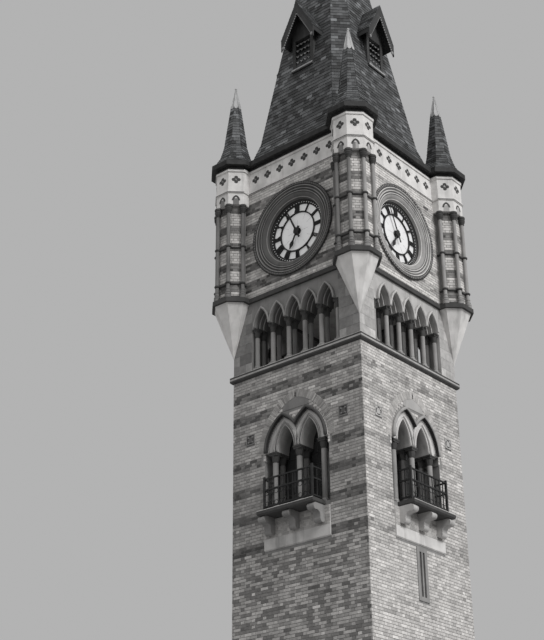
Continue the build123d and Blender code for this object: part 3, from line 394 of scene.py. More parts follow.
def lay_piece(name, shape, finish, body="tower", tints=None, smooth=False, sharp=None):
    """A mesh that rides on its body, with one tint to a face where it has tints.

    Edges sharper than `sharp` degrees stay sharp on a smooth piece.
    """
    points, faces = shape
    mesh = bpy.data.meshes.new(name)
    mesh.vertices.add(len(points))
    mesh.vertices.foreach_set("co", np.asarray(points, np.float32).ravel())
    mesh.loops.add(faces.size)
    mesh.loops.foreach_set("vertex_index", np.asarray(faces, np.int32).ravel())
    mesh.polygons.add(len(faces))
    mesh.polygons.foreach_set("loop_start", np.arange(0, faces.size, 4, dtype=np.int32))
    mesh.update(calc_edges=True)
    mesh.validate()
    mesh.polygons.foreach_set("use_smooth", np.full(len(mesh.polygons), smooth))
    if tints is not None:
        layer = mesh.attributes.new("tint", "FLOAT", "FACE")
        layer.data.foreach_set("value", np.asarray(tints, np.float32))
    if sharp:
        mesh.set_sharp_from_angle(angle=np.radians(sharp))
    mesh.materials.append(finishes[finish])
    piece = add_object(name, mesh)
    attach(piece, body)
    laid.append(2 * len(faces))
    print(f"{name}: {laid[-1]} triangles")
    return piece


# %% [markdown]
# A brick in a wall shows one face, slightly rounded by its edges. A small block does that: a back
# rectangle in the plane of the mortar, and a front rectangle a few millimetres nearer and a little
# smaller, so that its four sloping sides catch the light. All blocks of a wall are one array.

# %% Blocks
BLOCK_FACES = np.array(((4, 5, 6, 7), (3, 2, 1, 0), (0, 1, 5, 4), (1, 2, 6, 5), (2, 3, 7, 6), (3, 0, 4, 7)))


def block_shape(corners):
    """Blocks of eight corners each as one shape."""
    faces = BLOCK_FACES + 8 * np.arange(len(corners))[:, None, None]
    return corners.reshape(-1, 3), faces.reshape(-1, 4)


def blocks(left, right, foot, head, back, proud, edge):
    """Blocks from rectangles: corners at `back`, then the same corners drawn in by `edge` at back + proud."""
    left, right, foot, head, back = np.broadcast_arrays(left, right, foot, head, back)
    ring = np.stack([np.stack(corner, -1) for corner in (
        (left, foot, back), (right, foot, back), (right, head, back), (left, head, back)
    )], 1)
    front = ring.copy()
    front[..., :2] += np.array(((1, 1), (-1, 1), (-1, -1), (1, -1))) * edge
    front[..., 2] += proud
    return block_shape(np.concatenate((ring, front), 1))


def bar_block(start, stop, width, back, proud, edge=0.002):
    """A straight bar as one block: its corners are start and stop shifted half a width to each side."""
    start, stop = np.array(start, float), np.array(stop, float)
    way = (stop - start) / np.linalg.norm(stop - start)
    side = np.array((-way[1], way[0])) * width / 2
    flat = np.array((start - side, stop - side, stop + side, start + side))
    middle = flat.mean(0)
    front = flat + (middle - flat) * edge / np.abs(flat - middle).max()
    return block_shape(np.concatenate((
        np.column_stack((flat, np.full(4, back))), np.column_stack((front, np.full(4, back + proud)))
    ))[None])


def face_tints(tints):
    """Each block's tint, clipped and repeated for its six faces."""
    return np.repeat(np.clip(tints, 0, 1), 6)


# %% [markdown]
# The walls are laid in courses, with long and short bricks by turns, each course shifted by half a
# pair. Openings, carved stones and dials stop a course. So for each course the stretch that every
# obstacle takes is worked out, and bricks fill what is left. Pale courses and dark bands are the
# pattern that the photograph shows, measured from the top of the shaft down.

# %% Brick sizes and bands
COURSE, JOINT = 0.079, 0.010
STRETCHER, PAIR = 0.235, 0.352
BRICK_PROUD, BRICK_EDGE = 0.007, 0.0025
SHAFT_BANDS = ((14.79, 15.04), (14.16, 14.41), (12.91, 13.15), (12.20, 12.43), (11.49, 11.72), (10.71, 10.95))
STAGE_BANDS = ((17.98, 18.29), (18.63, 18.84), (19.22, 19.49), (19.80, 20.06), (20.43, 20.73))
# Each tone set is a (shaded, sunny) pair of (pale, dark) tints. Walls and turret flats that face away from the sun take
# the shaded pair, as painted shade.
SHAFT_TONES = np.array(((0.52, 0.14), (0.73, 0.52)))
STAGE_TONES = np.array(((0.74, 0.17), (0.92, 0.58)))
TURRET_TONES = np.array(((0.66, 0.08), (0.92, 0.28)))
chance = np.random.default_rng(7)


def stretch_of(obstacle, low, high):
    """Where an obstacle blocks a course from low to high: its widest stretch there, or nothing.

    A box blocks from side to side. A disc blocks r cos of its height above the middle. An arch
    blocks its half width up to the spring, and beyond it the reach of an arc about a shifted centre.
    """
    kind, middle, *sizes = obstacle
    if kind == "box":
        half, foot, head = sizes
        return (middle - half, middle + half) if foot < high and head > low else None
    if kind == "disc":
        level, radius = sizes
        near = min(max(level, low), high) - level
        if abs(near) >= radius:
            return None
        half = np.sqrt(radius ** 2 - near ** 2)
        return middle - half, middle + half
    half, foot, spring, shift = sizes
    reach = half + shift
    rise = max(low - spring, 0)
    if high <= foot or rise ** 2 >= reach ** 2 - shift ** 2:
        return None
    half = np.sqrt(reach ** 2 - rise ** 2) - shift
    return middle - half, middle + half


def free_stretches(left, right, low, high, obstacles):
    """What the obstacles leave of one course between left and right."""
    free = [(left, right)]
    for stretch in filter(None, (stretch_of(obstacle, low, high) for obstacle in obstacles)):
        cut = []
        for start, stop in free:
            cut += [(start, min(stop, stretch[0])), (max(start, stretch[1]), stop)]
        free = [(start, stop) for start, stop in cut if stop - start > 0.03]
    return free


def cut_course(marks, start, stop, margin, low, high, joint):
    """Blocks of one course as rows (left, right, foot, head), parted at those marks that leave the margin."""
    marks = marks[(marks > start + margin) & (marks < stop - margin)]
    edges = np.concatenate(([start], marks, [stop]))
    return np.column_stack(np.broadcast_arrays(
        edges[:-1] + joint / 2, edges[1:] - joint / 2, low + joint / 2, high - joint / 2
    ))


def course_bricks(start, stop, shift, low, high):
    """The bricks of one course between start and stop, long and short by turns."""
    pairs = np.arange(-20, 21) * PAIR + shift
    return cut_course(np.sort(np.concatenate((pairs, pairs + STRETCHER))), start, stop, 0.04, low, high, JOINT)


def sun_and_shade_tones(out, tones):
    """Tints of pale and dark courses on a wall that faces `out`, mixed from the shaded and sunny pairs: painted shade
    makes the front and back, out of the sun, darker.
    """
    shaded, sunny = tones
    return shaded + (sunny - shaded) * out[0] ** 2


def brick_panel(left, right, foot, head, out, bands, tones, obstacles=(), spread=0.12, mixed_below=0.0):
    """Courses of bricks over a panel, as a wall shape and one tint to a face; tones are (pale, dark).

    In the courses below `mixed_below`, three bricks in ten are burnt dark.
    """
    rows = int(round((head - foot) / COURSE))
    height = (head - foot) / rows
    bricks, tints = [], []
    for row in range(rows):
        low = foot + row * height
        shift = PAIR * 0.5 * (row % 2) - STRETCHER / 2
        banded = any(start <= low + height / 2 <= stop for start, stop in bands)
        for start, stop in free_stretches(left, right, low, low + height, obstacles):
            bricks.append(course_bricks(start, stop, shift, low, low + height))
            tint = tones[int(banded)] + chance.normal(0, spread, len(bricks[-1]))
            if low < mixed_below:
                tint = np.where(chance.random(len(tint)) < 0.3, tint * 0.35, tint)
            tints.append(tint)
    shape = blocks(*np.concatenate(bricks).T, out, BRICK_PROUD, BRICK_EDGE)
    return shape, face_tints(np.concatenate(tints))


# %% [markdown]
# The shaft is the tallest plain surface. Its front and back bricks run past the corners by their
# own thickness, and those of the two sides stop between them, so the corners close. On the front
# and back they are darker around the windows: the tint sinks there along a bell curve of height.

# %% Bricks of the shaft
WINDOW_HALF, LIGHT_OFFSET = 1.029, 0.391
RING_HALF, RING_SHIFT, RING_WIDTH = 1.23, 0.28, 0.20
PLAQUE_OFFSET = 1.5
DARKEST, DARK_LEVEL, DARK_REACH = 0.26, 12.1, 1.2
window_obstacles = [
    ("box", 0, WINDOW_HALF, 10.66, 12.93), ("arch", 0, RING_HALF - RING_WIDTH / 2, 12.92, WINDOW_SPRING, RING_SHIFT),
    ("box", -PLAQUE_OFFSET, 0.135, 13.56, 13.83), ("box", PLAQUE_OFFSET, 0.135, 13.56, 13.83),
]
slit_obstacle = ("box", 0, 0.212, 9.3, 10.61)
extras = ([("arch", 0, 0.752, 0.2, 1.75, 0.33)], [slit_obstacle], [], [slit_obstacle])
for wall, side in enumerate(SIDES):
    shaded_wall = wall % 2 == 0
    reach = HALF + BRICK_PROUD if shaded_wall else HALF
    (points, faces), tints = brick_panel(
        -reach, reach, SHAFT_FOOT, STRING_LEVEL, HALF, SHAFT_BANDS, sun_and_shade_tones(WALLS[wall][1], SHAFT_TONES),
        window_obstacles + extras[wall], 0.13, 10.7 if shaded_wall else 6.0,
    )
    if shaded_wall:
        level = points[:, 1].reshape(-1, 8).mean(1).repeat(6)
        tints = tints * (1 - DARKEST * np.exp(-((level - DARK_LEVEL) / DARK_REACH) ** 2))
    lay_piece(f"{side}_shaft_bricks", (on_wall(points, wall), faces), "banded_brick", tints=tints)

# %% [markdown]
# Over each pair of windows a pointed relieving arch of bricks on edge carries the wall, and plain
# paler bricks fill the space under it, round the stone heads. The ring's bricks are blocks as well,
# bent to the two arcs: each block spans one step of the angle and the width of the ring. A plain
# grey slab fills the top of the ring. The upper part of the apron under a balcony is brick too.

# %% Relieving arches and what fills them
RING_STEPS = 44
HEAD_HALF, HEAD_SHIFT = 0.616, 0.430
SLAB_HALF, SLAB_FOOT = 0.42, 14.18


def voussoirs(half, width, shift, spring, count, out, proud, gap):
    """Wedge blocks on both sides of a pointed arch of that outer half width.

    A block lies about (-shift, spring) between two angles and two radii, its ends drawn in by the gap.
    """
    radius = half + shift
    angles = np.linspace(0, np.arccos(shift / radius), count + 1)
    lows, highs = angles[:-1] + gap / radius, angles[1:] - gap / radius
    flat = np.stack([
        np.stack((reach * np.cos(angle) - shift, spring + reach * np.sin(angle)), -1)
        for reach, angle in ((radius - width, highs), (radius - width, lows), (radius, lows), (radius, highs))
    ], 1)
    middle = flat.mean(1, keepdims=True)
    front = middle + (flat - middle) * 0.965
    points, faces = block_shape(np.concatenate([
        np.concatenate((ring, np.full(ring.shape[:2] + (1,), level)), -1)
        for ring, level in ((flat, out), (front, out + proud))
    ], 1))
    return join_parts([(points, faces), (points * (-1, 1, 1), faces[:, ::-1])])


ring = on_walls(voussoirs(RING_HALF, RING_WIDTH, RING_SHIFT, WINDOW_SPRING, RING_STEPS, HALF, 0.014, 0.0025))
# The rings in front and behind are darker by 0.17: painted shade on the walls out of the sun.
tints = chance.normal(0.60, 0.09, (4, len(ring[1]) // 24)) - [[0.17], [0], [0.17], [0]]
lay_piece("relieving_arches", ring, "banded_brick", tints=face_tints(tints))

infill = [("box", 0, SLAB_HALF, SLAB_FOOT, 14.5)] + [
    ("arch", middle, HEAD_HALF - 0.01, 12.9, WINDOW_SPRING, HEAD_SHIFT) for middle in (-LIGHT_OFFSET, LIGHT_OFFSET)
]
bricks, tints = [], []
reach = RING_HALF - RING_WIDTH * 0.8 + RING_SHIFT
for row, low in enumerate(np.arange(13.0, 14.3, COURSE)):
    rise = max(low + COURSE - WINDOW_SPRING, 0)
    half = np.sqrt(max(reach ** 2 - rise ** 2, 0)) - RING_SHIFT
    for start, stop in free_stretches(-half, half, low, low + COURSE, infill) if half > 0.05 else []:
        bricks.append(course_bricks(start, stop, PAIR * 0.5 * (row % 2), low, low + COURSE))
        tints.append(0.74 + chance.normal(0, 0.12, len(bricks[-1])))
shape = on_walls(blocks(*np.concatenate(bricks).T, HALF, BRICK_PROUD, BRICK_EDGE))
lay_piece("window_infill_bricks", shape, "banded_brick", tints=np.tile(face_tints(np.concatenate(tints)), 4))
APRON_FOOT, APRON_HEAD, APRON_FACE = 10.95, 11.42, HALF + 0.035
shape, tints = brick_panel(
    -WINDOW_HALF, WINDOW_HALF, APRON_FOOT, APRON_HEAD, APRON_FACE, SHAFT_BANDS, (0.55, 0.2), spread=0.1
)
lay_piece("apron_bricks", on_walls(shape), "banded_brick", tints=np.tile(tints, 4))

# %% [markdown]
# The clock stage is bricked between the turrets, round the dial. The cores of the turrets are
# octagons in the same bands, so each flat of a core is a narrow wall of its own. Five of its eight
# flats show. A flat's points are turned about the corner of the tower instead of about its axis.

# %% Bricks of the clock stage and turrets
CORE_FLAT = 0.415
panels = [brick_panel(
    -1.70, 1.70, CLOCK_LEVEL, FRIEZE_FOOT, HALF, STAGE_BANDS, sun_and_shade_tones(WALLS[wall][1], STAGE_TONES),
    [("disc", 0, DIAL_LEVEL, 1.33)], 0.13,
) for wall in range(4)]
shape = join_parts([(on_wall(points, wall), faces) for wall, ((points, faces), _) in enumerate(panels)])
lay_piece("clock_stage_bricks", shape, "banded_brick", tints=np.concatenate([tints for _, tints in panels]))

half = CORE_FLAT * np.tan(np.pi / 8)
panels = [brick_panel(
    -half, half, CLOCK_LEVEL, TURRET_HEAD, CORE_FLAT, STAGE_BANDS,
    sun_and_shade_tones((np.cos(way), np.sin(way)), TURRET_TONES), spread=0.1,
) for _, way in FLATS]
shape = join_parts([on_flat(panel, *flat) for flat, (panel, _) in zip(FLATS, panels)])
lay_piece("turret_bricks", shape, "banded_brick", tints=np.concatenate([tints for _, tints in panels]))

# %% [markdown]
# Slates overlap like scales. Each is a thin wedge: its head lies on the roof and its tail stands
# off by the thickness of the slates under it. A slope is given by its four corners. Courses climb
# from the eaves, each shifted by half a slate, and the slates at the hips are cut to the slope's edge.

# %% Slates
SLATE_TAIL, SLATE_HEAD, SLATE_GAP = 0.018, 0.005, 0.004


def slate_slope(foot_left, foot_right, head_right, head_left, gauge, width):
    """Slates over a flat slope.

    The edge at height t is the straight mix of the foot and the head edges. A slate's foot lies on
    the edge at its course, its head one and a third gauges higher, and its tail stands off the slope.
    """
    rise = (head_left + head_right - foot_left - foot_right) / 2
    normal = np.cross(foot_right - foot_left, rise)
    normal /= np.linalg.norm(normal)
    across = (foot_right - foot_left) / max(np.linalg.norm(foot_right - foot_left), 1e-9)
    middle = (foot_left + foot_right) / 2
    half_foot = np.linalg.norm(foot_right - foot_left) / 2
    half_head = np.linalg.norm(head_right - head_left) / 2
    count = max(int(round(np.linalg.norm(rise) / gauge)), 1)
    pieces = []
    for course in range(count):
        low, high = course / count, min((course + 1.3) / count, 1)
        half_low, half_high = (half_foot + (half_head - half_foot) * share for share in (low, high))
        marks = (np.arange(-60, 61) + 0.5 * (course % 2)) * width
        left, right = cut_course(marks, -half_low, half_low, width / 4, 0, 0, SLATE_GAP).T[:2]
        top_left, top_right = np.clip(left, -half_high, half_high), np.clip(right, -half_high, half_high)
        pieces.append(np.stack([
            middle + side[:, None] * across + share * rise + off * tail * normal
            for off in (0, 1) for side, share, tail in (
                (left, low, SLATE_TAIL), (right, low, SLATE_TAIL),
                (top_right, high, SLATE_HEAD), (top_left, high, SLATE_HEAD),
            )
        ], 1))
    return block_shape(np.concatenate(pieces))


def slate_tints(shape, middle=0.19, spread=0.16, pale_share=0.14):
    """One tint to each slate of six faces: most are dark, and a small share is pale. On the roofs the pale slates are
    partly paler slates and partly painted highlights, slates that catch the light.
    """
    count = len(shape[1]) // 6
    pale = chance.random(count) < pale_share
    return face_tints(np.where(pale, chance.normal(0.58, 0.18, count), chance.normal(middle, spread, count)))


# %% [markdown]
# The spire has eight slopes: four broad ones and four narrow ones where its corners are cut. It
# flares at the foot. The rings of corners at the foot, at the top of the flare and at the lead cap
# are enough to lay all of them.

# %% Slates of the spire
SPIRE_HALF, SPIRE_RISE, SPIRE_CUT, CORNER_SHARE = 1.994, 12.073, 11.5, 0.69
FLARE_HEIGHT, FLARE_OUT = 0.7, 0.12


def spire_half(height):
    """Half width of the spire at a height above its foot: it shrinks evenly towards the apex."""
    return SPIRE_HALF * (1 - height / SPIRE_RISE)


def spire_ring(height, extra=0.0):
    """Eight corners of the spire at a height above its foot: a square with cut corners."""
    half = spire_half(height) + extra
    cut = CORNER_SHARE * half
    first = ((cut, -half), (half, -cut), (half, cut), (cut, half))
    return np.array([(turn * x, turn * y, SPIRE_LEVEL + height) for turn in (1, -1) for x, y in first])


def slate_rings(rings, gauge, width):
    """Slates on every slope between rings of corners that run round anticlockwise."""
    return join_parts([
        slate_slope(low[index], low[after], high[after], high[index], gauge, width)
        for low, high in zip(rings[:-1], rings[1:]) for index, after in enumerate((1, 2, 3, 4, 5, 6, 7, 0))
    ])


shape = slate_rings((spire_ring(0, FLARE_OUT), spire_ring(FLARE_HEIGHT), spire_ring(SPIRE_CUT)), 0.13, 0.19)
lay_piece("spire_slates", shape, "roof_slate", tints=slate_tints(shape))

# %% [markdown]
# Spirelets stand on the turrets. They are octagons that flare at the foot and grow slender towards
# a lead cap. The same slate function lays them, ring by ring, with smaller slates. The slates that
# would lie inside the big spire are left out.

# %% Slates of the spirelets
SPIRELET_FLATS = (0.600, 0.427, 0.353, 0.315, 0.274, 0.130)
SPIRELET_LEVELS = (0.0, 0.330, 0.600, 0.772, 1.120, 2.236)


def octagon_ring(centre, flat, level):
    """Eight corners of an octagon with flats square to the walls: radius is flat over cos 22.5 degrees."""
    angles = np.radians(22.5 + 45 * np.arange(8))
    reach = flat / np.cos(np.pi / 8)
    return np.column_stack((centre[0] + reach * np.cos(angles), centre[1] + reach * np.sin(angles), np.full(8, level)))


points, faces = join_parts([slate_rings([
    octagon_ring(corner, flat, SPIRE_LEVEL + level) for flat, level in zip(SPIRELET_FLATS, SPIRELET_LEVELS)
], 0.105, 0.15) for corner in CORNERS])
middles = points[faces].mean(1)
hidden = (np.abs(middles[:, :2]) < spire_half(middles[:, 2:] - SPIRE_LEVEL) - 0.06).all(1).reshape(-1, 6).any(1)
shape = block_shape(points.reshape(-1, 8, 3)[~hidden])
lay_piece("spirelet_slates", shape, "roof_slate", tints=slate_tints(shape, 0.25))

# %% [markdown]
# The lucarnes are the dormers half way up the spire. Each has two steep slopes, slated like the
# rest. A slope runs from the verge back to where it meets the spire, so its slates get shorter
# courses towards the ridge. They are laid as a flat slope and those inside the spire left out.

# %% Slates of the lucarnes
LUCARNE_LEVEL = SPIRE_LEVEL + 2.958
LUCARNE_FRONT, LUCARNE_BACK = 1.775, 0.55
ROOF_HALF, ROOF_RISE, ROOF_EAVES = 0.603, 1.176, LUCARNE_LEVEL + 1.155
slopes = [slate_slope(*np.array((
    (side * ROOF_HALF, ROOF_EAVES, first), (side * ROOF_HALF, ROOF_EAVES, last),
    (0, ROOF_EAVES + ROOF_RISE, last), (0, ROOF_EAVES + ROOF_RISE, first),
)), 0.125, 0.17) for side, first, last in ((1, LUCARNE_FRONT, LUCARNE_BACK), (-1, LUCARNE_BACK, LUCARNE_FRONT))]
corners = join_parts(slopes)[0].reshape(-1, 8, 3)
inside = (corners[..., 2] < spire_half(corners[..., 1] - SPIRE_LEVEL) - 0.02).all(1)
shape = on_walls(block_shape(corners[~inside]))
lay_piece("lucarne_slates", shape, "roof_slate", tints=slate_tints(shape))

# %% [markdown]
# Mouldings give an arch its light and dark lines. A moulding is a small closed profile carried along
# a path. On a pointed arch the path is two arcs, so each corner of the profile runs on a pair of
# arcs of its own, given by its half width and the shift of its centres, and meets its twin at an
# apex of its own. The surface has two parameters: the corner of the profile, and how far along the
# arch it is. Where two arches stand so close that they cross, the inner side of each starts at the
# line midway between them.


# %% Mouldings on arches
def grid_quads(row, after, column, beside):
    """Quads of a grid of points, from where two neighbouring rows start and two neighbouring columns."""
    return np.stack((row + column, row + beside, after + beside, after + column), -1).reshape(-1, 4)


def fan_quads(ring):
    """Quads that fan out from the first point of a ring and close it."""
    return [(ring[0], *ring[index:index + 3]) for index in range(1, len(ring) - 2, 2)]


def loft_faces(rows, columns):
    """Quads between neighbouring rows and columns of a grid, rows closed into a loop, ends capped by a fan."""
    row, column = np.arange(rows)[:, None] * columns, np.arange(columns - 1)[None]
    rings = (row[:, 0], row[::-1, 0] + columns - 1)
    return np.concatenate([grid_quads(row, np.roll(row, -1, 0), column, column + 1), *map(fan_quads, rings)])


def lofted(*rows, turn=1):
    """A closed loft of rows of points, each given as (along, up, out) lists or numbers; turn is -1 if clockwise."""
    rows = [np.column_stack(np.broadcast_arrays(*row)) for row in rows]
    return np.concatenate(rows), loft_faces(len(rows), len(rows[0]))[:, ::turn]


def arch_moulding(middle, spring, half, shift, profile, steps=10, twins=False):
    """A profile of (outward from the arch, outward from the wall) pairs carried round a pointed arch.

    Half and shift are one number each, or one for every corner. A corner a beyond the arch runs on
    radius R = half + shift + a, at (R cos t - shift, R sin t) for t from 0 to arccos(shift / R), and back
    down the other side mirrored. Of twins at +-middle, the inner side starts where R cos t - shift = |middle|.
    """
    beyond, out = np.array(profile, float).T
    half, shift = (np.broadcast_to(value, beyond.shape)[:, None] for value in (half, shift))
    radius = half + shift + beyond[:, None]
    apex = np.arccos(shift / radius)
    first = np.arccos(np.minimum((abs(middle) + shift) / radius, 1)) if twins else 0 * apex
    share = np.linspace(0, 1, steps)[None]
    outer, inner = share * apex, (first + share * (apex - first))[:, -2::-1]
    along = np.concatenate((radius * np.cos(outer) - shift, shift - radius * np.cos(inner)), 1)
    rise = np.concatenate((radius * np.sin(outer), radius * np.sin(inner)), 1)
    if twins and middle < 0:
        along, rise = -along[:, ::-1], rise[:, ::-1]
    points = np.stack((middle + along, spring + rise, np.broadcast_to(out[:, None], along.shape)), -1)
    return points.reshape(-1, 3), loft_faces(*along.shape)


def evenly_round(count):
    """That many angles evenly round a circle."""
    return np.arange(count) * 2 * np.pi / count


def round_bar(radius, at, out, sides=8):
    """Corners of a roll of that radius, `at` beyond the arch and `out` from the axis of the tower."""
    angle = evenly_round(sides)
    return np.column_stack((at + radius * np.cos(angle), out + radius * np.sin(angle)))


def flat_strip(inner, outer, back, front):
    """Profile of a flat strip between two reaches beyond the arch and two distances from the axis."""
    return (inner, back), (outer, back), (outer, front), (inner, front)


def mould_arches(name, middles, spring, mouldings, finish, smooth=True, twins=False):
    """Profiles of (half, shift, profile) round arches at several middles, on all four walls."""
    return lay_piece(name, on_walls(*(
        arch_moulding(middle, spring, half, shift, profile, twins=twins)
        for middle in middles for half, shift, profile in mouldings
    )), finish, smooth=smooth)


# %% [markdown]
# The two lights of a window stand under shallow steps, shallower than those of the CAD heads, whose
# place these heads take. A step fills what lies between two arches, and arches of two shapes make
# it narrow towards the apex. A pale roll follows the edge of the opening and of the next step, with
# a black groove of painted shade between them. The hood over them is dark with painted shade on the
# front and back, and a black strip of painted shadow lies under its lip. The arcade has the same
# rolls in small, with dark grooves of painted shade in its steps.


# %% Mouldings of windows and arcade
def shift_of(half, rise):
    """How far beyond its middle the centres of a pointed arch lie, from its half width and rise."""
    return (rise ** 2 - half ** 2) / (2 * half)


def arch_step(inner, outer, back, front):
    """What lies between two arches of (half, shift), from back to front, as a moulding of its own."""
    halves, shifts = (np.array((near, far, far, near)) for near, far in zip(inner, outer))
    return halves, shifts, ((0, back), (0, back), (0, front), (0, front))


LIGHTS = (-LIGHT_OFFSET, LIGHT_OFFSET)
HEAD_BACK, SECOND_FACE, THIRD_FACE = HALF - 0.52, HALF - 0.060, HALF - 0.030
OPENING, SECOND, THIRD = (
    (half, shift_of(half, rise)) for half, rise in ((0.270, 0.635), (0.345, 0.705), (0.520, 0.850))
)
HOOD_WIDTH, HOOD_BACK, HOOD_FACE = 0.070, HALF + 0.03, HALF + 0.095
HOOD_INNER, HOOD_OUTER = (HEAD_HALF - HOOD_WIDTH, HEAD_SHIFT), (HEAD_HALF, HEAD_SHIFT)
heads = mould_arches("window_head_steps", LIGHTS, WINDOW_SPRING, [
    arch_step(OPENING, SECOND, HEAD_BACK, SECOND_FACE),
    arch_step(SECOND, THIRD, HEAD_BACK, THIRD_FACE),
    arch_step(THIRD, HOOD_INNER, HEAD_BACK, HALF),
    arch_step(HOOD_INNER, HOOD_OUTER, HEAD_BACK, HOOD_BACK),
], "carved_stone", smooth=False, twins=True)
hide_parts("window_heads")
mould_arches("window_arch_rolls", LIGHTS, WINDOW_SPRING, [
    (*OPENING, round_bar(0.023, 0.026, SECOND_FACE + 0.004)),
    (*SECOND, round_bar(0.018, 0.020, THIRD_FACE + 0.004)),
    (*THIRD, round_bar(0.014, -0.020, THIRD_FACE + 0.004)),
], "belfry_rolls", twins=True)
# Black strips of painted shade: in the grooves between the steps, and under the lip of the hood as its shadow.
mould_arches("window_arch_grooves", LIGHTS, WINDOW_SPRING, [
    (*SECOND, flat_strip(-0.024, 0.001, SECOND_FACE - 0.002, SECOND_FACE + 0.003)),
    (*THIRD, flat_strip(-0.004, 0.012, HALF - 0.002, HALF + 0.002)),
    (*HOOD_INNER, flat_strip(-0.006, 0.001, HALF - 0.002, HOOD_FACE - 0.012)),
], "painted_groove_shade", smooth=False, twins=True)
mould_arches("window_hoods", LIGHTS, WINDOW_SPRING, [(*HOOD_INNER, (
    (0.0, HOOD_BACK), (HOOD_WIDTH + 0.002, HOOD_BACK), (HOOD_WIDTH + 0.002, HOOD_FACE - 0.02),
    (HOOD_WIDTH * 0.7, HOOD_FACE + 0.004), (0.012, HOOD_FACE + 0.004), (0.0, HOOD_FACE - 0.006),
))], "hood_stone", twins=True)

ARCADE_SPRING, ARCH_HALF, ARCH_SHIFT, BAY = 16.82, 0.236, 0.420, 0.542
BAYS = BAY * np.arange(-2, 3)
mould_arches("arcade_arch_rolls", BAYS, ARCADE_SPRING, [(ARCH_HALF, ARCH_SHIFT, round_bar(*roll)) for roll in (
    (0.018, 0.010, HALF - 0.006), (0.016, -0.034, HALF - 0.114), (0.016, -0.078, HALF - 0.224),
    (0.013, 0.024, HALF + 0.074),
)], "belfry_rolls")
# Dark strips of painted shade in the corners of the arcade's steps.
mould_arches("arcade_arch_grooves", BAYS, ARCADE_SPRING, [(ARCH_HALF, ARCH_SHIFT, flat_strip(*strip)) for strip in (
    (-0.012, 0.001, HALF - 0.112, HALF - 0.107), (-0.056, -0.043, HALF - 0.222, HALF - 0.217),
)], "soot_and_shade_stone", smooth=False)

# %% [markdown]
# The grey slab in the top of each relieving arch is level below and follows the ring above. It is a
# loft of four rows of points along the wall: back and front of its foot, front and back of its head.

# %% Slabs in the relieving arches
across = np.linspace(-SLAB_HALF, SLAB_HALF, 13)
radius = RING_HALF - RING_WIDTH + RING_SHIFT
head = WINDOW_SPRING + np.sqrt(radius ** 2 - (np.abs(across) + RING_SHIFT) ** 2) + 0.005
back, front = HALF - 0.002, HALF + 0.009
lay_piece("tympanum_slabs", on_walls(lofted(
    (across, SLAB_FOOT, back), (across, SLAB_FOOT, front), (across, head, front), (across, head, back), turn=-1
)), "grey_stone")

# %% [markdown]
# A turned piece is a profile of radii and heights swept round an axis. Capitals are turned too, and
# then carved: the radius swells and shrinks with the angle, so that leaves stand out of the bell.


# %% Turned and carved pieces
def stacked_faces(rings, sides, foot=True):
    """Quads between stacked rings of points, closed by quads over the last ring, and the first if asked."""
    row, column = np.arange(rings - 1)[:, None] * sides, np.arange(sides)
    ends = ((rings - 1) * sides + column, column[::-1])[: 2 if foot else 1]
    return np.concatenate([grid_quads(row, row + sides, column, np.roll(column, -1)), *map(fan_quads, ends)])


def turned_shape(profile, sides, carve=None):
    """A profile of (radius, height) pairs swept round the vertical: (r cos a, r sin a, z).

    carve(angle, height) multiplies the radius, so that leaves or flutes stand out of the round.
    """
    radius, height = np.array(profile, float).T[..., None]
    angle = evenly_round(sides)
    reach, level = np.broadcast_arrays(radius, height + 0 * angle)
    if carve is not None:
        reach = reach * carve(angle[None], level)
    points = np.stack((reach * np.cos(angle), reach * np.sin(angle), level), -1).reshape(-1, 3)
    return points, stacked_faces(len(radius), sides)


def square_slab(half, low, high, edge=0.004):
    """A square block about the vertical with eased edges: a turned shape of four sides, turned 45 degrees."""
    reach = half * np.sqrt(2)
    points, faces = turned_shape(
        ((reach - edge, low), (reach, low + edge), (reach, high - edge), (reach - edge, high)), 4
    )
    turn = np.array(((1, -1), (1, 1))) / np.sqrt(2)
    return np.column_stack((points[:, :2] @ turn.T, points[:, 2])), faces


def stand_at(shape, places):
    """Copies of a shape, shifted to several places."""
    return join_parts([shifted(shape, *place) for place in places])


def leaf_bell(count, low, high, depth):
    """Carving of a bell with s climbing from low to high: 1 + depth sin(pi s^0.8) |cos(count a / 2)|^0.7."""
    def carve(angle, level):
        share = np.clip((level - low) / (high - low), 0, 1)
        return 1 + depth * np.sin(np.pi * share ** 0.8) * np.abs(np.cos(count * angle / 2)) ** 0.7
    return carve


# %% [markdown]
# A column has a square foot, a rolled base, a plain shaft, a neck ring and a leafy bell under a
# square abacus. Its base and shaft are pale and its capital is near black, so the two are
# separate pieces. They stand where the CAD columns stand, and take their place in the picture.


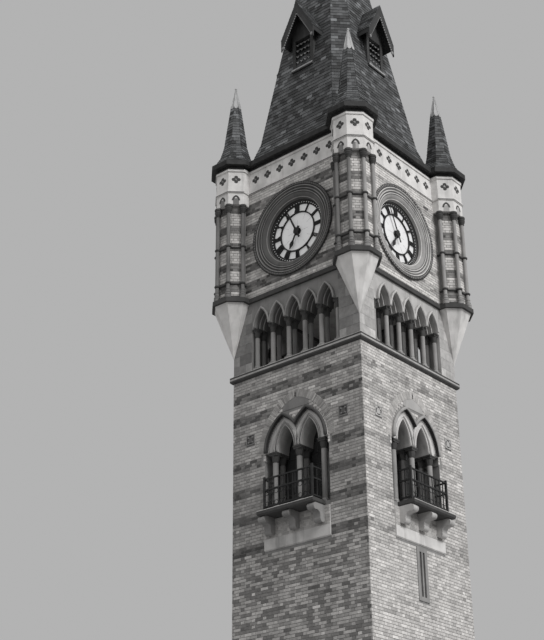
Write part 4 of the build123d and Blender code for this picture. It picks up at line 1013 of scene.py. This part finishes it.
# %% Columns of windows and arcade
def column_shapes(radius, height, base, capital, abacus, sides=20, leaves=8):
    """(base and shaft, capital) of a column; abacus is half the width of the square slab on its bell."""
    foot, neck, top = 0.35 * base, height - capital, height - 0.35 * capital
    turns = np.linspace(0, np.pi, 6)
    roll = [(radius * (1.2 + 0.16 * np.sin(t)), foot + 0.32 * base * t / np.pi) for t in turns]
    hollow = [(radius * (1.02 + 0.10 * (1 - s) ** 2), foot + base * (0.34 + 0.2 * s)) for s in (0.1, 0.5, 0.9)]
    small = [(radius * (1.0 + 0.10 * np.sin(t)), foot + base * (0.56 + 0.07 * t / np.pi)) for t in turns[1:]]
    ring = [(radius * (1.0 + 0.14 * np.sin(t)), neck - 0.010 + 0.020 * t / np.pi) for t in turns]
    low, spread = neck + 0.012, (abacus - 0.006) / 1.13 - 1.02 * radius
    bell = [(radius * 1.02 + spread * s ** 1.3, low + (top - neck - 0.012) * s) for s in np.linspace(0, 1, 9)]
    middle = top + 0.5 * (height - top)
    return join_parts([
        square_slab(1.45 * radius - 0.001, 0.0, foot),
        turned_shape(roll + hollow + small + [(radius, neck)], sides),
    ]), join_parts([
        turned_shape(ring + bell, 4 * leaves, leaf_bell(leaves, low, top + 0.015, 0.13)),
        square_slab(abacus - 0.012, top - 0.002, middle), square_slab(abacus - 0.001, middle, height - 0.001),
    ])


def lay_columns(name, node, shapes, spots):
    """Shafts and capitals at (along, up, out) spots on each of the four walls, in place of a CAD node."""
    places = np.concatenate([on_wall(np.array(spots), wall) for wall in range(4)])
    for part, shape, finish in zip(("shafts", "capitals"), shapes, ("shaft_stone", "soot_and_shade_stone")):
        piece = lay_piece(f"{name}_{part}", stand_at(shape, places), finish, smooth=True, sharp=35)
        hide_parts(node)


spots = [(along, BALCONY_LEVEL, HALF - row) for along in (-0.777, 0, 0.777) for row in (0.130, 0.400)]
lay_columns("window", "window_columns", column_shapes(0.074, 1.65, 0.15, 0.26, 0.122), spots)
spots = [(BAY * (index - 2.5), 15.645, HALF - row) for index in range(6) for row in (0.110, 0.350)]
lay_columns("arcade", "arcade_columns", column_shapes(0.063, 1.175, 0.14, 0.25, 0.094, 16, 6), spots)

# %% [markdown]
# Each dial is white glass behind a black cast frame. Its hours are numerals made of plain bars. A
# bar is a block given by its two ends and its width, in a frame where "up" points from the hub to
# the rim. Turning that frame by an hour's angle brings a numeral to its place.

# %% Numerals
DIAL_FACE = 1.925
NUMERAL_FOOT, NUMERAL_HEAD = 0.604, 0.794
STROKES = {
    "I": (((0, 0), (0, 1)),),
    "V": (((-1, 1), (0, 0)), ((0, 0), (1, 1))),
    "X": (((-1, 0), (1, 1)), ((-1, 1), (1, 0))),
}
HALF_WIDTHS = {"I": 0.012, "V": 0.040, "X": 0.040}
HOURS = ("XII", "I", "II", "III", "IV", "V", "VI", "VII", "VIII", "IX", "X", "XI")


def on_dial(shape, angle):
    """A shape about the hub turned clockwise by angle and lifted to the dial's level, as a wall shape."""
    points, faces = shape
    along = points[:, 0] * np.cos(angle) + points[:, 1] * np.sin(angle)
    up = points[:, 1] * np.cos(angle) - points[:, 0] * np.sin(angle)
    return np.column_stack((along, DIAL_LEVEL + up, points[:, 2])), faces


parts = []
for hour, letters in enumerate(HOURS):
    widths = [2 * HALF_WIDTHS[letter] + 0.014 for letter in letters]
    half = sum(widths) / 2
    start, bars = -half, []
    for letter, width in zip(letters, widths):
        middle, lean = start + width / 2, (HALF_WIDTHS[letter] - 0.008) * (letter != "I")
        start += width
        for stroke in STROKES[letter]:
            ends = [
                (middle + side * lean, NUMERAL_FOOT + rise * (NUMERAL_HEAD - NUMERAL_FOOT)) for side, rise in stroke
            ]
            bars.append((*ends, 0.021 if letter == "I" or stroke[0][1] == 1 else 0.013, 0.046))
    bars += [((-half, level), (half, level), 0.009, 0.044) for level in (NUMERAL_FOOT, NUMERAL_HEAD)]
    parts += [
        on_dial(bar_block(*ends, width, DIAL_FACE - 0.040, proud), hour * np.pi / 6) for *ends, width, proud in bars
    ]
lay_piece("dial_numerals", on_walls(*parts), "black_ironwork")

# %% [markdown]
# Sixty white dots mark the minutes on the black rim. Each is a low, eight-sided button. The lead
# lines that join the panes of the middle glass are thin dark strips on its face.


# %% Minute dots and lead lines
def button(radius, height, sides=8):
    """A low button on the plane: a ring, a smaller raised ring, and a flat top, all four-sided faces."""
    angle = evenly_round(sides)
    rings = [
        np.column_stack((r * np.cos(angle), r * np.sin(angle), np.full(sides, z)))
        for r, z in ((radius, 0), (radius * 0.9, height * 0.7), (radius * 0.55, height))
    ]
    return np.concatenate(rings), stacked_faces(3, sides, foot=False)


def ring_of(shape, count, radius, out):
    """Copies of a shape evenly round the dial, facing outward, as a wall shape."""
    return stand_at(shape, [
        (radius * np.sin(spot), DIAL_LEVEL + radius * np.cos(spot), out) for spot in evenly_round(count)
    ])


lay_piece("minute_dots", on_walls(ring_of(button(0.0145, 0.006), 60, 0.862, DIAL_FACE - 0.001)), "opal_glass")
lay_piece("dial_lead_lines", on_walls(*(
    on_dial(bar_block((0, low), (0, high), 0.004, DIAL_FACE - 0.0405, 0.003), index * np.pi / 6)
    for index in range(12) for low, high in [(0.36, 0.565) if index % 3 else (0.105, 0.36)]
)), "sheet_lead")

# %% [markdown]
# The stone surround is a ring with a moulded section: a rim, three rolls and a long curve in to the
# dial. A closed section swept round the dial makes it, and the same sweep makes the cast frame of
# the dial, which is two rings and a boss, joined by twelve bars. A roll is half an ellipse in the
# section, and the curve is a quarter of one. These pieces take the place of the plainer CAD nodes.


# %% Moulded surround and cast frame
def swept_section(section, count=96):
    """A closed section of (radius, out) pairs swept round the dial: (r cos a, r sin a) along and up."""
    radius, out = np.array(section, float).T
    sides, angle = len(radius), evenly_round(count)[:, None]
    points = np.stack((
        radius * np.cos(angle), DIAL_LEVEL + radius * np.sin(angle), np.broadcast_to(out, (count, sides))
    ), -1).reshape(-1, 3)
    row, column = np.arange(count)[:, None] * sides, np.arange(sides)
    return points, grid_quads(row, np.roll(row, -1, 0), column, np.roll(column, -1))


FRAME_BACK, SURROUND_HOLLOW = 1.885, HALF + 0.018
section = [
    (1.355, HALF - 0.001), (1.355, HALF + 0.058), (1.351, HALF + 0.062), (1.307, HALF + 0.062), (1.303, HALF + 0.058),
    (1.300, SURROUND_HOLLOW),
]
for middle, half, proud in ((1.262, 0.034, 0.040), (1.182, 0.030, 0.024), (1.110, 0.024, 0.012)):
    section += [(middle + half * np.cos(t), SURROUND_HOLLOW + proud * np.sin(t)) for t in np.linspace(0, np.pi, 8)]
section += [(1.080 - 0.175 * np.sin(t), 1.925 + 0.193 * np.cos(t)) for t in np.linspace(0, np.pi / 2, 9)]
section += [(0.905, FRAME_BACK), (1.058, FRAME_BACK), (1.058, HALF - 0.001)]
surround = lay_piece(
    "surround_mouldings", on_walls(swept_section(section[::-1])), "moulded_dial_stone", smooth=True, sharp=40
)
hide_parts("dial_surrounds")

castings = lay_piece("dial_castings", on_walls(*(swept_section(section[::-1]) for section in (
    ((0.904, FRAME_BACK), (0.904, DIAL_FACE), (0.813, DIAL_FACE), (0.809, 1.921), (0.809, FRAME_BACK)),
    ((0.595, FRAME_BACK), (0.595, 1.922), (0.592, DIAL_FACE), (0.564, DIAL_FACE), (0.561, 1.922), (0.561, FRAME_BACK)),
    (
        (0.110, FRAME_BACK), (0.110, 1.920), (0.104, DIAL_FACE), (0.030, DIAL_FACE), (0.0275, 1.922),
        (0.0275, FRAME_BACK),
    ),
)), *(
    on_dial(bar_block((0, 0.578), (0, 0.815), 0.026, FRAME_BACK, DIAL_FACE - FRAME_BACK), index * np.pi / 6)
    for index in range(12)
)), "black_ironwork")
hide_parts("dial_frames")

# %% [markdown]
# A ring of studs stands on the rim of the surround, and a finer ring of beads lies between its first
# two rolls. Both are buttons again, evenly spaced. Thin pale rings on the crests of the rolls are
# painted highlights, and thin black rings in the grooves between them and at the rim are painted shade.

# %% Studs, beads and rings of the surround
for name, stud, count, radius, out, finish in (
    ("surround_studs", button(0.025, 0.024), 96, 1.329, HALF + 0.061, "ashlar_blocks"),
    ("surround_beads", button(0.012, 0.012), 150, 1.222, HALF + 0.017, "moulded_dial_stone"),
):
    lay_piece(name, on_walls(ring_of(stud, count, radius, out)), finish, smooth=True)
# The crest rings are painted highlights on the rolls, and the groove rings painted shade.
CRESTS = (
    (1.262, HALF + 0.050, 0.013), (1.182, HALF + 0.034, 0.011), (1.110, HALF + 0.020, 0.012), (0.955, 2.058, 0.013),
)
GROOVES = (
    (1.300, HALF + 0.024, 0.012), (1.222, HALF + 0.016, 0.009), (1.143, HALF + 0.016, 0.012),
    (1.083, HALF + 0.012, 0.010), (0.915, 1.975, 0.018), (1.368, HALF + 0.052, 0.010), (1.293, HALF + 0.050, 0.010),
)
for name, rings, finish in (("surround_crest_highlights", CRESTS, "crest_highlight_stone"), ("surround_groove_shade", GROOVES, "painted_groove_shade")):
    lay_piece(name, on_walls(*(
        swept_section([(radius + width * np.cos(turn), out - width * np.sin(turn)) for turn in evenly_round(6)])
        for radius, out, width in rings
    )), finish, smooth=True)

# %% [markdown]
# Dressed stone is laid in tall courses of long blocks, with fine joints. The same blocks that make
# bricks make it, only larger, and with an even tint. They go on the plinth, on the square piers of
# the belfry and on the jambs of the door.


# %% Ashlar
def ashlar_panel(left, right, foot, head, out, course, length, proud=0.006, joint=0.006, obstacles=()):
    """Courses of dressed blocks over a panel and their tints, joints broken by half a block each course."""
    rows = max(int(round((head - foot) / course)), 1)
    height = (head - foot) / rows
    ends = []
    for row in range(rows):
        low, marks = foot + row * height, (np.arange(-30, 31) + 0.5 * (row % 2)) * length
        for start, stop in free_stretches(left, right, low, low + height, obstacles):
            ends.append(cut_course(marks, start, stop, 0.3 * length, low, low + height, joint))
    ends = np.concatenate(ends)
    return blocks(*ends.T, out, proud, 0.003), face_tints(chance.normal(0.6, 0.13, len(ends)))


def lay_ashlar(name, panels, finish, darker=0.0):
    """Panels laid on all four walls as one piece; tints repeat, `darker` by that much in front and behind, as painted
    shade.
    """
    tints = np.concatenate([tints for _, tints in panels])
    tints = np.clip(np.concatenate([tints - darker * (wall % 2 == 0) for wall in range(4)]), 0, 1)
    lay_piece(name, on_walls(*(shape for shape, _ in panels)), finish, tints=tints)


PIER_EDGE, PLINTH_HALF = 1.46, HALF + 0.13
DOOR_HALF, DOOR_SHIFT, DOOR_SPRING, DOOR_RING = 0.52, 0.33, 1.75, 0.23
# The piers in front and behind are darker: painted shade on the walls out of the sun.
lay_ashlar("pier_ashlar", [
    ashlar_panel(left, right, 15.585, 17.60, HALF - 0.001, 0.30, 0.42)
    for left, right in ((-HALF, -PIER_EDGE), (PIER_EDGE, HALF))
], "ashlar_blocks", 0.45)
lay_ashlar("plinth_ashlar", [ashlar_panel(
    -PLINTH_HALF, PLINTH_HALF, 0.0, 1.105, PLINTH_HALF - 0.001, 0.37, 0.8, joint=0.010,
    obstacles=[("arch", 0, DOOR_HALF + DOOR_RING, 0, DOOR_SPRING, DOOR_SHIFT)],
)], "weathered_ashlar")

# %% [markdown]
# Voussoirs are the wedge blocks of an arch. They lie round the head of the door, over jambs of the
# same stone.

# %% Voussoirs of the door
points, faces = shape = join_parts([
    voussoirs(DOOR_HALF + DOOR_RING, DOOR_RING, DOOR_SHIFT, DOOR_SPRING, 9, HALF + 0.169, 0.008, 0.004),
    *(ashlar_panel(left, left + DOOR_RING, 0.25, DOOR_SPRING, HALF + 0.169, 0.30, DOOR_RING, 0.008, 0.008)[0]
      for left in (-DOOR_HALF - DOOR_RING, DOOR_HALF)),
])
lay_piece("door_voussoirs", (on_wall(points, 0), faces), "weathered_ashlar", tints=slate_tints(shape, 0.6, 0.12))

# %% [markdown]
# A colonnette stands at each corner of the turrets, with a turned base and a capital like two drums.
# These take the place of the plain CAD colonnettes. A pale neck of stone lies on the capitals, up to
# the head of the turret. Two thin collars tie each turret, black as painted shade: an octagon behind
# the colonnettes, and a roll round each of them.

# %% Capitals, bases and collars of the turrets
TURRET_FLAT = 0.525
COLLARS = CLOCK_LEVEL + np.array((0.441, 1.574))
ring = 0.478 / np.cos(np.pi / 8)
places = [
    (cx + ring * np.cos(way), cy + ring * np.sin(way))
    for corner, (cx, cy) in enumerate(CORNERS) for way in np.radians(-45 + 90 * corner - 112.5 + 45 * np.arange(6))
]


def bulge(radius, proud, low, high, steps=6):
    """Profile of a roll: radius + proud sin t, while the height climbs from low to high."""
    turns = np.linspace(0, np.pi, steps)
    return [(radius + proud * np.sin(t), low + (high - low) * (1 - np.cos(t)) / 2) for t in turns]


bell = [(0.062 + 0.034 * np.sin(0.5 * np.pi * s), -0.225 + 0.075 * s) for s in np.linspace(0, 1, 6)]
capital = turned_shape((
    *bulge(0.058, 0.014, -0.265, -0.235), *bell, *bulge(0.084, 0.016, -0.145, -0.095), *bulge(0.088, 0.018, -0.080, 0.0)
), 20)
column = turned_shape((
    (0.092, 0.0), (0.092, 0.10), *bulge(0.072, 0.018, 0.11, 0.16), *bulge(0.062, 0.014, 0.18, 0.22),
    *bulge(0.056, 0.012, 0.27, 0.31), (0.052, 0.32), (0.052, TURRET_HEAD - CLOCK_LEVEL - 0.26),
), 20)
for name, shape, level, finish in (
    ("turret_capitals", capital, TURRET_HEAD, "soot_and_shade_stone"), ("turret_shafts", column, CLOCK_LEVEL, "turret_stone")
):
    spots = [(x, y, level) for x, y in places]
    piece = lay_piece(name, stand_at(shape, spots), finish, smooth=True, sharp=35)
    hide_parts("turret_colonnettes")
roll = turned_shape(((0.050, 0.0), *bulge(0.058, 0.026, 0.004, 0.066, 8), (0.050, 0.070)), 16)
spots = [(x, y, level) for x, y in places for level in COLLARS]
lay_piece("turret_collar_rings", stand_at(roll, spots), "soot_and_shade_stone", smooth=True)
for name, profile, levels, finish in (
    ("turret_collars", ((0.436, 0.008), (0.462, 0.022), (0.462, 0.048), (0.436, 0.062)), COLLARS, "soot_and_shade_stone"),
    ("turret_feet", ((TURRET_FLAT, 0.0), (TURRET_FLAT, 0.070), (0.50, 0.084)), (CLOCK_LEVEL,), "soot_and_shade_stone"),
    (
        "turret_necks", ((TURRET_FLAT - 0.012, 0.0), (TURRET_FLAT, 0.012), (TURRET_FLAT, 0.169)), (TURRET_HEAD,),
        "dressed_stone",
    ),
):
    faces = stacked_faces(len(profile), 8)
    lay_piece(name, join_parts([
        (np.concatenate([octagon_ring(corner, flat, level + rise) for flat, rise in profile]), faces)
        for corner in CORNERS for level in levels
    ]), finish)

# %% [markdown]
# The glass of the windows lies behind a timber frame, and thin painted bars divide it into small
# panes. The bars run along and up the opening, so each is a straight strip cut where the pointed
# outline of the opening stops it.

# %% Glazing bars
BAR_BACK, BAR_WIDTH = HALF - 0.52 - 0.05 - 0.001, 0.016
reach = HEAD_HALF + HEAD_SHIFT
parts = []
for along in np.arange(-0.96, 0.97, 0.24):
    if abs(along) > 0.04:
        across = abs(abs(along) - LIGHT_OFFSET) + HEAD_SHIFT
        top = WINDOW_SPRING + np.sqrt(max(reach ** 2 - across ** 2, 0)) - 0.05
        parts.append(bar_block((along, 11.6), (along, top), BAR_WIDTH, BAR_BACK, 0.012))
for level in np.arange(11.9, 13.9, 0.30):
    rise = max(level - WINDOW_SPRING, 0)
    half = 0.97 if level < 12.98 else LIGHT_OFFSET + np.sqrt(reach ** 2 - rise ** 2) - HEAD_SHIFT - 0.06
    parts.append(bar_block((-half, level), (half, level), BAR_WIDTH, BAR_BACK, 0.014))
lay_piece("glazing_bars", on_walls(*parts), "painted_timber")

# %% [markdown]
# The door is made of upright planks under iron straps. Each plank is a tall block that stops at
# the pointed outline of the doorway, and the straps are flat bars across them.

# %% Planks and straps of the door
DOOR_FACE, PLANK = HALF - 0.30, 0.13
parts, straps = [], []
for along in np.arange(-0.455, 0.46, PLANK):
    edge = abs(along) + 0.063
    rise = np.sqrt((DOOR_HALF + DOOR_SHIFT) ** 2 - (edge + DOOR_SHIFT) ** 2) if edge < DOOR_HALF else 0
    parts.append(bar_block((along, 0.256), (along, DOOR_SPRING + rise - 0.004), 0.124, DOOR_FACE - 0.001, 0.012, 0.004))
for level in (0.55, 1.15, 1.75):
    straps.append(bar_block((-0.50, level), (0.36, level), 0.055, DOOR_FACE + 0.010, 0.007))
    straps += [
        shifted(button(0.014, 0.008), along, level, DOOR_FACE + 0.016) for along in np.arange(-0.45, 0.36, 0.115)
    ]
straps.append(shifted(button(0.045, 0.03, 16), 0.42, 1.15, DOOR_FACE + 0.010))
for name, shapes, finish in (("door_planks", parts, "painted_timber"), ("door_straps", straps, "black_ironwork")):
    points, faces = join_parts(shapes)
    lay_piece(name, (on_wall(points, 0), faces), finish)

# %% [markdown]
# Each lucarne has five louvre boards with wavy lower edges and dark gaps between. A louvre is a loft of
# four rows of points along the wall: its upper edge behind, its lower edge in front, and the same
# again a board's thickness away. The sill is pale, and a scalloped strip edges each bargeboard.

# %% Louvres, sills and scallops of the lucarnes
LUCARNE_FACE = 1.505
LOUVRE_FOOT, LOUVRE_HEIGHT, LOUVRE_HALF, LOUVRES = LUCARNE_LEVEL + 0.095, 1.03, 0.275, 5
GABLE_APEX, GABLE_END, GABLE_PITCH = 26.950, 0.603 - 0.06, 1.950
across = np.linspace(-LOUVRE_HALF, LOUVRE_HALF, 33)
wave = 0.030 * np.cos(2 * np.pi * 4 * across / (2 * LOUVRE_HALF))
parts = []
for row in range(LOUVRES):
    foot, head = (LOUVRE_FOOT + rise + row * LOUVRE_HEIGHT / LOUVRES for rise in (0.045, 0.165))
    parts.append(lofted(*(
        (across, level, LUCARNE_FACE - out)
        for level, out in ((head, 0.105), (foot + wave, 0.012), (foot + wave, 0.032), (head, 0.125))
    ), turn=-1))
louvres = lay_piece("lucarne_louvre_boards", on_walls(*parts), "louvre_timber")
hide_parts("lucarne_louvres")
sill = bar_block((-0.385, LOUVRE_FOOT - 0.03), (0.385, LOUVRE_FOOT - 0.03), 0.05, LUCARNE_FACE + 0.055, 0.012)
lay_piece("lucarne_sills", on_walls(sill), "pale_timber")

tooth, drop = button(0.036, 0.022, 12), button(0.062, 0.030, 14)
scallops = [(tooth, along, 0.245) for along in np.linspace(0.03, GABLE_END - 0.01, 15)] + [(drop, GABLE_END, 0.242)]
lay_piece("bargeboard_scallops", on_walls(*(
    shifted(shape, side * along, GABLE_APEX - GABLE_PITCH * along, LUCARNE_FACE + out)
    for side in (-1, 1) for shape, along, out in scallops
)), "louvre_timber")

# %% [markdown]
# The lead caps of the spirelets end below in a scalloped edge, and a roll covers each of their
# eight hips. The big cap at the top of the spire has the same rolls.

# %% Lead rolls and scallops
CAP_FOOT = SPIRE_LEVEL + SPIRELET_LEVELS[-1]


def facing(way):
    """Directions out and to the side of something that faces `way`."""
    return np.array((np.cos(way), np.sin(way), 0)), np.array((-np.sin(way), np.cos(way), 0))


def hip_rolls(centre, height, foot_radius, head_radius, width, sides=6):
    """Eight thin rolls up the hips of a cap: a six-sided tube on the line between two radii."""
    angle = evenly_round(sides)[:, None]
    parts = []
    for out, side in map(facing, np.radians(22.5 + 45 * np.arange(8))):
        tube = np.array(centre) + width * (np.cos(angle) * out + np.sin(angle) * side)
        rings = (tube + foot_radius * out, tube + head_radius * out + (0, 0, height))
        parts.append((np.concatenate(rings), stacked_faces(2, sides)))
    return join_parts(parts)


LOBE = ((-0.055, 0.02), (0.055, 0.02), (0.055, -0.05), (0.02, -0.10), (-0.02, -0.10), (-0.055, -0.05))
LOBE_FACES = np.array([(index, (index + 1) % 6, 6 + (index + 1) % 6, 6 + index) for index in range(6)]
                      + [(6, 7, 8, 11), (11, 8, 9, 10)])
parts = []
for cx, cy in CORNERS:
    parts.append(hip_rolls((cx, cy, CAP_FOOT), 0.655, 0.149, 0.016, 0.009))
    for out, side in map(facing, np.arange(8) * np.pi / 4):
        lobe = np.array([
            (cx, cy, CAP_FOOT) + side * across + out * (0.142 - 0.13 * rise) + (0, 0, rise) for across, rise in LOBE
        ])
        parts.append((np.concatenate((lobe, lobe + out * 0.006)), LOBE_FACES))
lay_piece("spirelet_lead", join_parts(parts), "sheet_lead")
lay_piece("spire_lead_rolls", hip_rolls((0, 0, SPIRE_LEVEL + SPIRE_CUT), 0.515, 0.135, 0.064, 0.012), "sheet_lead")

# %% [markdown]
# The plaques beside the windows are carved. Each is a square framed by four bars, and four low
# buttons stand in it on a black ring, like the petals of a flower.

# %% Carving of the plaques
PLAQUE_LEVEL, PLAQUE_FACE, PLAQUE_HALF = 13.694, HALF + 0.012, 0.130
corners = PLAQUE_HALF * np.array(((-1, -1), (1, -1), (1, 1), (-1, 1)))
ring = swept_section(((0.104, -0.001), (0.104, 0.006), (0.082, 0.006), (0.082, -0.001))[::-1], 24)
parts, rings = [], []
for middle in (-PLAQUE_OFFSET, PLAQUE_OFFSET):
    for way in np.radians(45 + 90 * np.arange(4)):
        along, up = middle + 0.088 * np.cos(way), PLAQUE_LEVEL + 0.088 * np.sin(way)
        parts.append(shifted(button(0.026, 0.014), along, up, PLAQUE_FACE - 0.001))
    for start, stop in ((0, 1), (3, 2), (0, 3), (1, 2)):
        ends = corners[[start, stop]] + (middle, PLAQUE_LEVEL)
        parts.append(bar_block(*ends, 0.022, PLAQUE_FACE - 0.002, 0.012, 0.006))
    rings.append(shifted(ring, middle, PLAQUE_LEVEL - DIAL_LEVEL, PLAQUE_FACE))
lay_piece("plaque_carving", on_walls(*parts), "grey_stone")
lay_piece("plaque_rings", on_walls(*rings), "painted_groove_shade")

# %% [markdown]
# A bracket under a balcony is a scroll: a round nose under the slab, a waist, and a smaller round
# foot against the wall. Its outline is one run of points. Each is paired with a point on the wall,
# so that the cheeks are strips of four-sided faces. They are broader than the CAD brackets.

# %% Balcony brackets
BRACKET_TOP, BRACKET_FOOT, BRACKET_BACK, BRACKET_HALF = APRON_HEAD, 10.99, HALF + 0.034, 0.105


def arc_points(out, up, radius, start, stop, steps):
    """Points of an arc about (out, up) between two angles in degrees."""
    angle = np.radians(np.linspace(start, stop, steps))
    return np.column_stack((out + radius * np.cos(angle), up + radius * np.sin(angle)))


outline = np.concatenate((
    [(BRACKET_BACK + 0.001, BRACKET_TOP)], arc_points(2.470, BRACKET_TOP - 0.085, 0.085, 90, -110, 12),
    arc_points(2.400, BRACKET_TOP - 0.265, 0.092, 100, 190, 6),
    arc_points(2.222, BRACKET_FOOT + 0.085, 0.085, 25, -100, 9), [(BRACKET_BACK + 0.002, BRACKET_FOOT + 0.04)],
))
wall_line = BRACKET_BACK, np.linspace(BRACKET_TOP, BRACKET_FOOT + 0.04, len(outline))
brackets = lay_piece("bracket_scrolls", on_walls(*(
    lofted(*(
        (middle + side * BRACKET_HALF, up, out)
        for (out, up), side in ((wall_line, -1), (outline.T, -1), (outline.T, 1), (wall_line, 1))
    )) for middle in (-0.770, 0, 0.770)
)), "bracket_stone", smooth=True, sharp=35)
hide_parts("balcony_brackets")

# %% [markdown]
# The railing has small iron rings between its bars, in a row under the middle rail and a row over
# the lower one, and a ball on each corner post.

# %% Rings and balls of the railing
RAIL_FACE, RAIL_BAY, POST_OFFSET, POST_HEAD = HALF + 0.336, 0.1504, 0.752, BALCONY_LEVEL + 0.84 + 0.042
RING_ROWS = (BALCONY_LEVEL + 0.521 - 0.062, BALCONY_LEVEL + 0.09 + 0.085)
rail_ring = swept_section([(0.058 + 0.008 * np.cos(t), 0.008 * np.sin(t)) for t in evenly_round(6)][::-1], 18)
rail_ball = turned_shape((
    (0.001, -0.026), *((0.026 * np.sin(t), -0.026 * np.cos(t)) for t in np.linspace(0.3, 2.84, 6)), (0.001, 0.026)
), 12)
rings = on_walls(*(
    shifted(rail_ring, along, level - DIAL_LEVEL, RAIL_FACE)
    for along in RAIL_BAY * (np.arange(10) - 4.5) for level in RING_ROWS
))
spots = np.array([(along, POST_HEAD - 0.022, RAIL_FACE) for along in (-POST_OFFSET, POST_OFFSET)])
balls = stand_at(rail_ball, np.concatenate([on_wall(spots, wall) for wall in range(4)]))
lay_piece("railing_rings", join_parts([rings, balls]), "black_ironwork", smooth=True)

# %% [markdown]
# Quatrefoils are carved in the frieze and the turret heads, and a small blind arch stands under each
# one on a turret. Their hollows are painted black as shade. A quatrefoil is drawn as four round lobes
# that overlap, with a pale boss in the middle, and a blind arch as a grey slab under a black roll,
# which is the painted shadow of its outline. Fine lines run round the tower as well: black lines of
# painted shade under and over the frieze, a pale ledge over the string course, and a pale nosing on
# each balcony slab.

# %% Quatrefoils, blind arches and fine lines
FOIL_LEVEL, FOIL_BAY = 21.485, 0.441
BLIND_SPRING, BLIND_HALF, BLIND_SHIFT = 20.80, 0.105, 0.075
LINE_FLAT, LINE_LEVELS = 0.554, (21.062, 21.812)
LEDGES = (
    (HALF, 15.607, 0.042, HALF - 0.001, 0.022), (2.17, 15.515, 0.045, HALF + 0.075, 0.003),
    (0.875, 11.532, 0.014, HALF + 0.489, 0.004),
)
foil = join_parts([
    shifted(button(0.056, 0.003, 12), 0.072 * np.cos(turn), 0.072 * np.sin(turn), 0) for turn in evenly_round(4)
])
boss = shifted(button(0.030, 0.010, 10), -0.012, 0.008, 0)
arch_roll = arch_moulding(0, 0, BLIND_HALF, BLIND_SHIFT, flat_strip(-0.042, 0.008, -0.002, 0.006), 7)
arch_slab = bar_block((0, -0.134), (0, 0.07), 0.17, -0.002, 0.004)
# The black foils and arch rolls are painted shade: dark plates where recesses and niches would be in shadow.
for name, carving, arch, finish in (
    ("painted_shade_foils", foil, arch_roll, "soot_and_shade_stone"), ("foil_bosses", boss, arch_slab, "grey_stone")
):
    lay_piece(name, join_parts([
        on_walls(*(shifted(carving, index * FOIL_BAY, FOIL_LEVEL, HALF) for index in range(-3, 4))),
        *(on_flat(shifted(shape, 0, level, TURRET_FLAT), *flat)
          for flat in FLATS for shape, level in ((carving, FOIL_LEVEL), (arch, BLIND_SPRING))),
    ]), finish)

# Black lines of painted shade under and over the frieze, on the walls and on the turret flats.
half = 0.555 * np.tan(np.pi / 8)
parts = []
for level in LINE_LEVELS:
    parts.append(on_walls(bar_block((-1.62, level), (1.62, level), 0.022, HALF + 0.029, 0.004)))
    line = bar_block((-half, level), (half, level), 0.022, LINE_FLAT, 0.004)
    parts += [on_flat(line, *flat) for flat in FLATS]
lay_piece("frieze_lines", join_parts(parts), "soot_and_shade_stone")
shape = join_parts([
    on_walls(bar_block((-half, level), (half, level), width, back, proud)) for half, level, width, back, proud in LEDGES
])
lay_piece("pale_ledges", shape, "ashlar_blocks", tints=np.repeat((0.8, 0.5, 0.8), 6 * 4))

# %% [markdown]
# The hands are fuller than their CAD plates: a tapered blade on each, and a spade on the hour hand.
# A blade rides on the body of its hand, in the same plane, and turns with it. Its outline pairs the
# two edges of the hand, from the tail to the tip.

# %% Blades of the hands
MINUTE = 56
HANDS = {
    "hour": (DIAL_FACE + 0.014, 2 * np.pi * (6 + MINUTE / 60) / 12, (
        (-0.05, 0.030), (0.10, 0.030), (0.33, 0.024), (0.37, 0.062), (0.41, 0.068), (0.46, 0.040), (0.545, 0.003),
    )),
    "minute": (DIAL_FACE + 0.036, 2 * np.pi * MINUTE / 60, (
        (-0.09, 0.028), (-0.075, 0.062), (-0.04, 0.090), (0, 0.102), (0.04, 0.090), (0.075, 0.062), (0.10, 0.028),
        (0.45, 0.024), (0.60, 0.020), (0.80, 0.004),
    )),
}
for hand, (out, angle, edges) in HANDS.items():
    reach, half = np.array(edges).T
    rows = ((side * half, reach, out + rise) for side, rise in ((-1, -0.0005), (-1, 0.0085), (1, 0.0085), (1, -0.0005)))
    points, faces = on_dial(lofted(*rows), angle)
    for wall, side in enumerate(SIDES):
        lay_piece(f"{side}_{hand}_blade", (on_wall(points, wall), faces), "black_ironwork", f"{side}_{hand}")

# %% [markdown]
# The tower stands on a plain pale floor. It rides on no body, so it is no part of the object. It is there
# for views from farther down the street, and to return a little light to the undersides.

# %% Floor
floor_mesh = bpy.data.meshes.new("floor")
floor_mesh.from_pydata([(-60, -60, 0), (60, -60, 0), (60, 60, 0), (-60, 60, 0)], [], [(0, 1, 2, 3)])
floor_finish, _, floor_shader = new_finish("pale_floor", 0.9)
floor_shader.inputs["Base Color"].default_value = grey(0.30)
floor_mesh.materials.append(floor_finish)
floor = add_object("floor", floor_mesh)

# %% [markdown]
# The tower is finished, and the number of triangles laid on the frame is printed.

# %% Triangle count
print("triangles laid on the frame:", sum(laid))
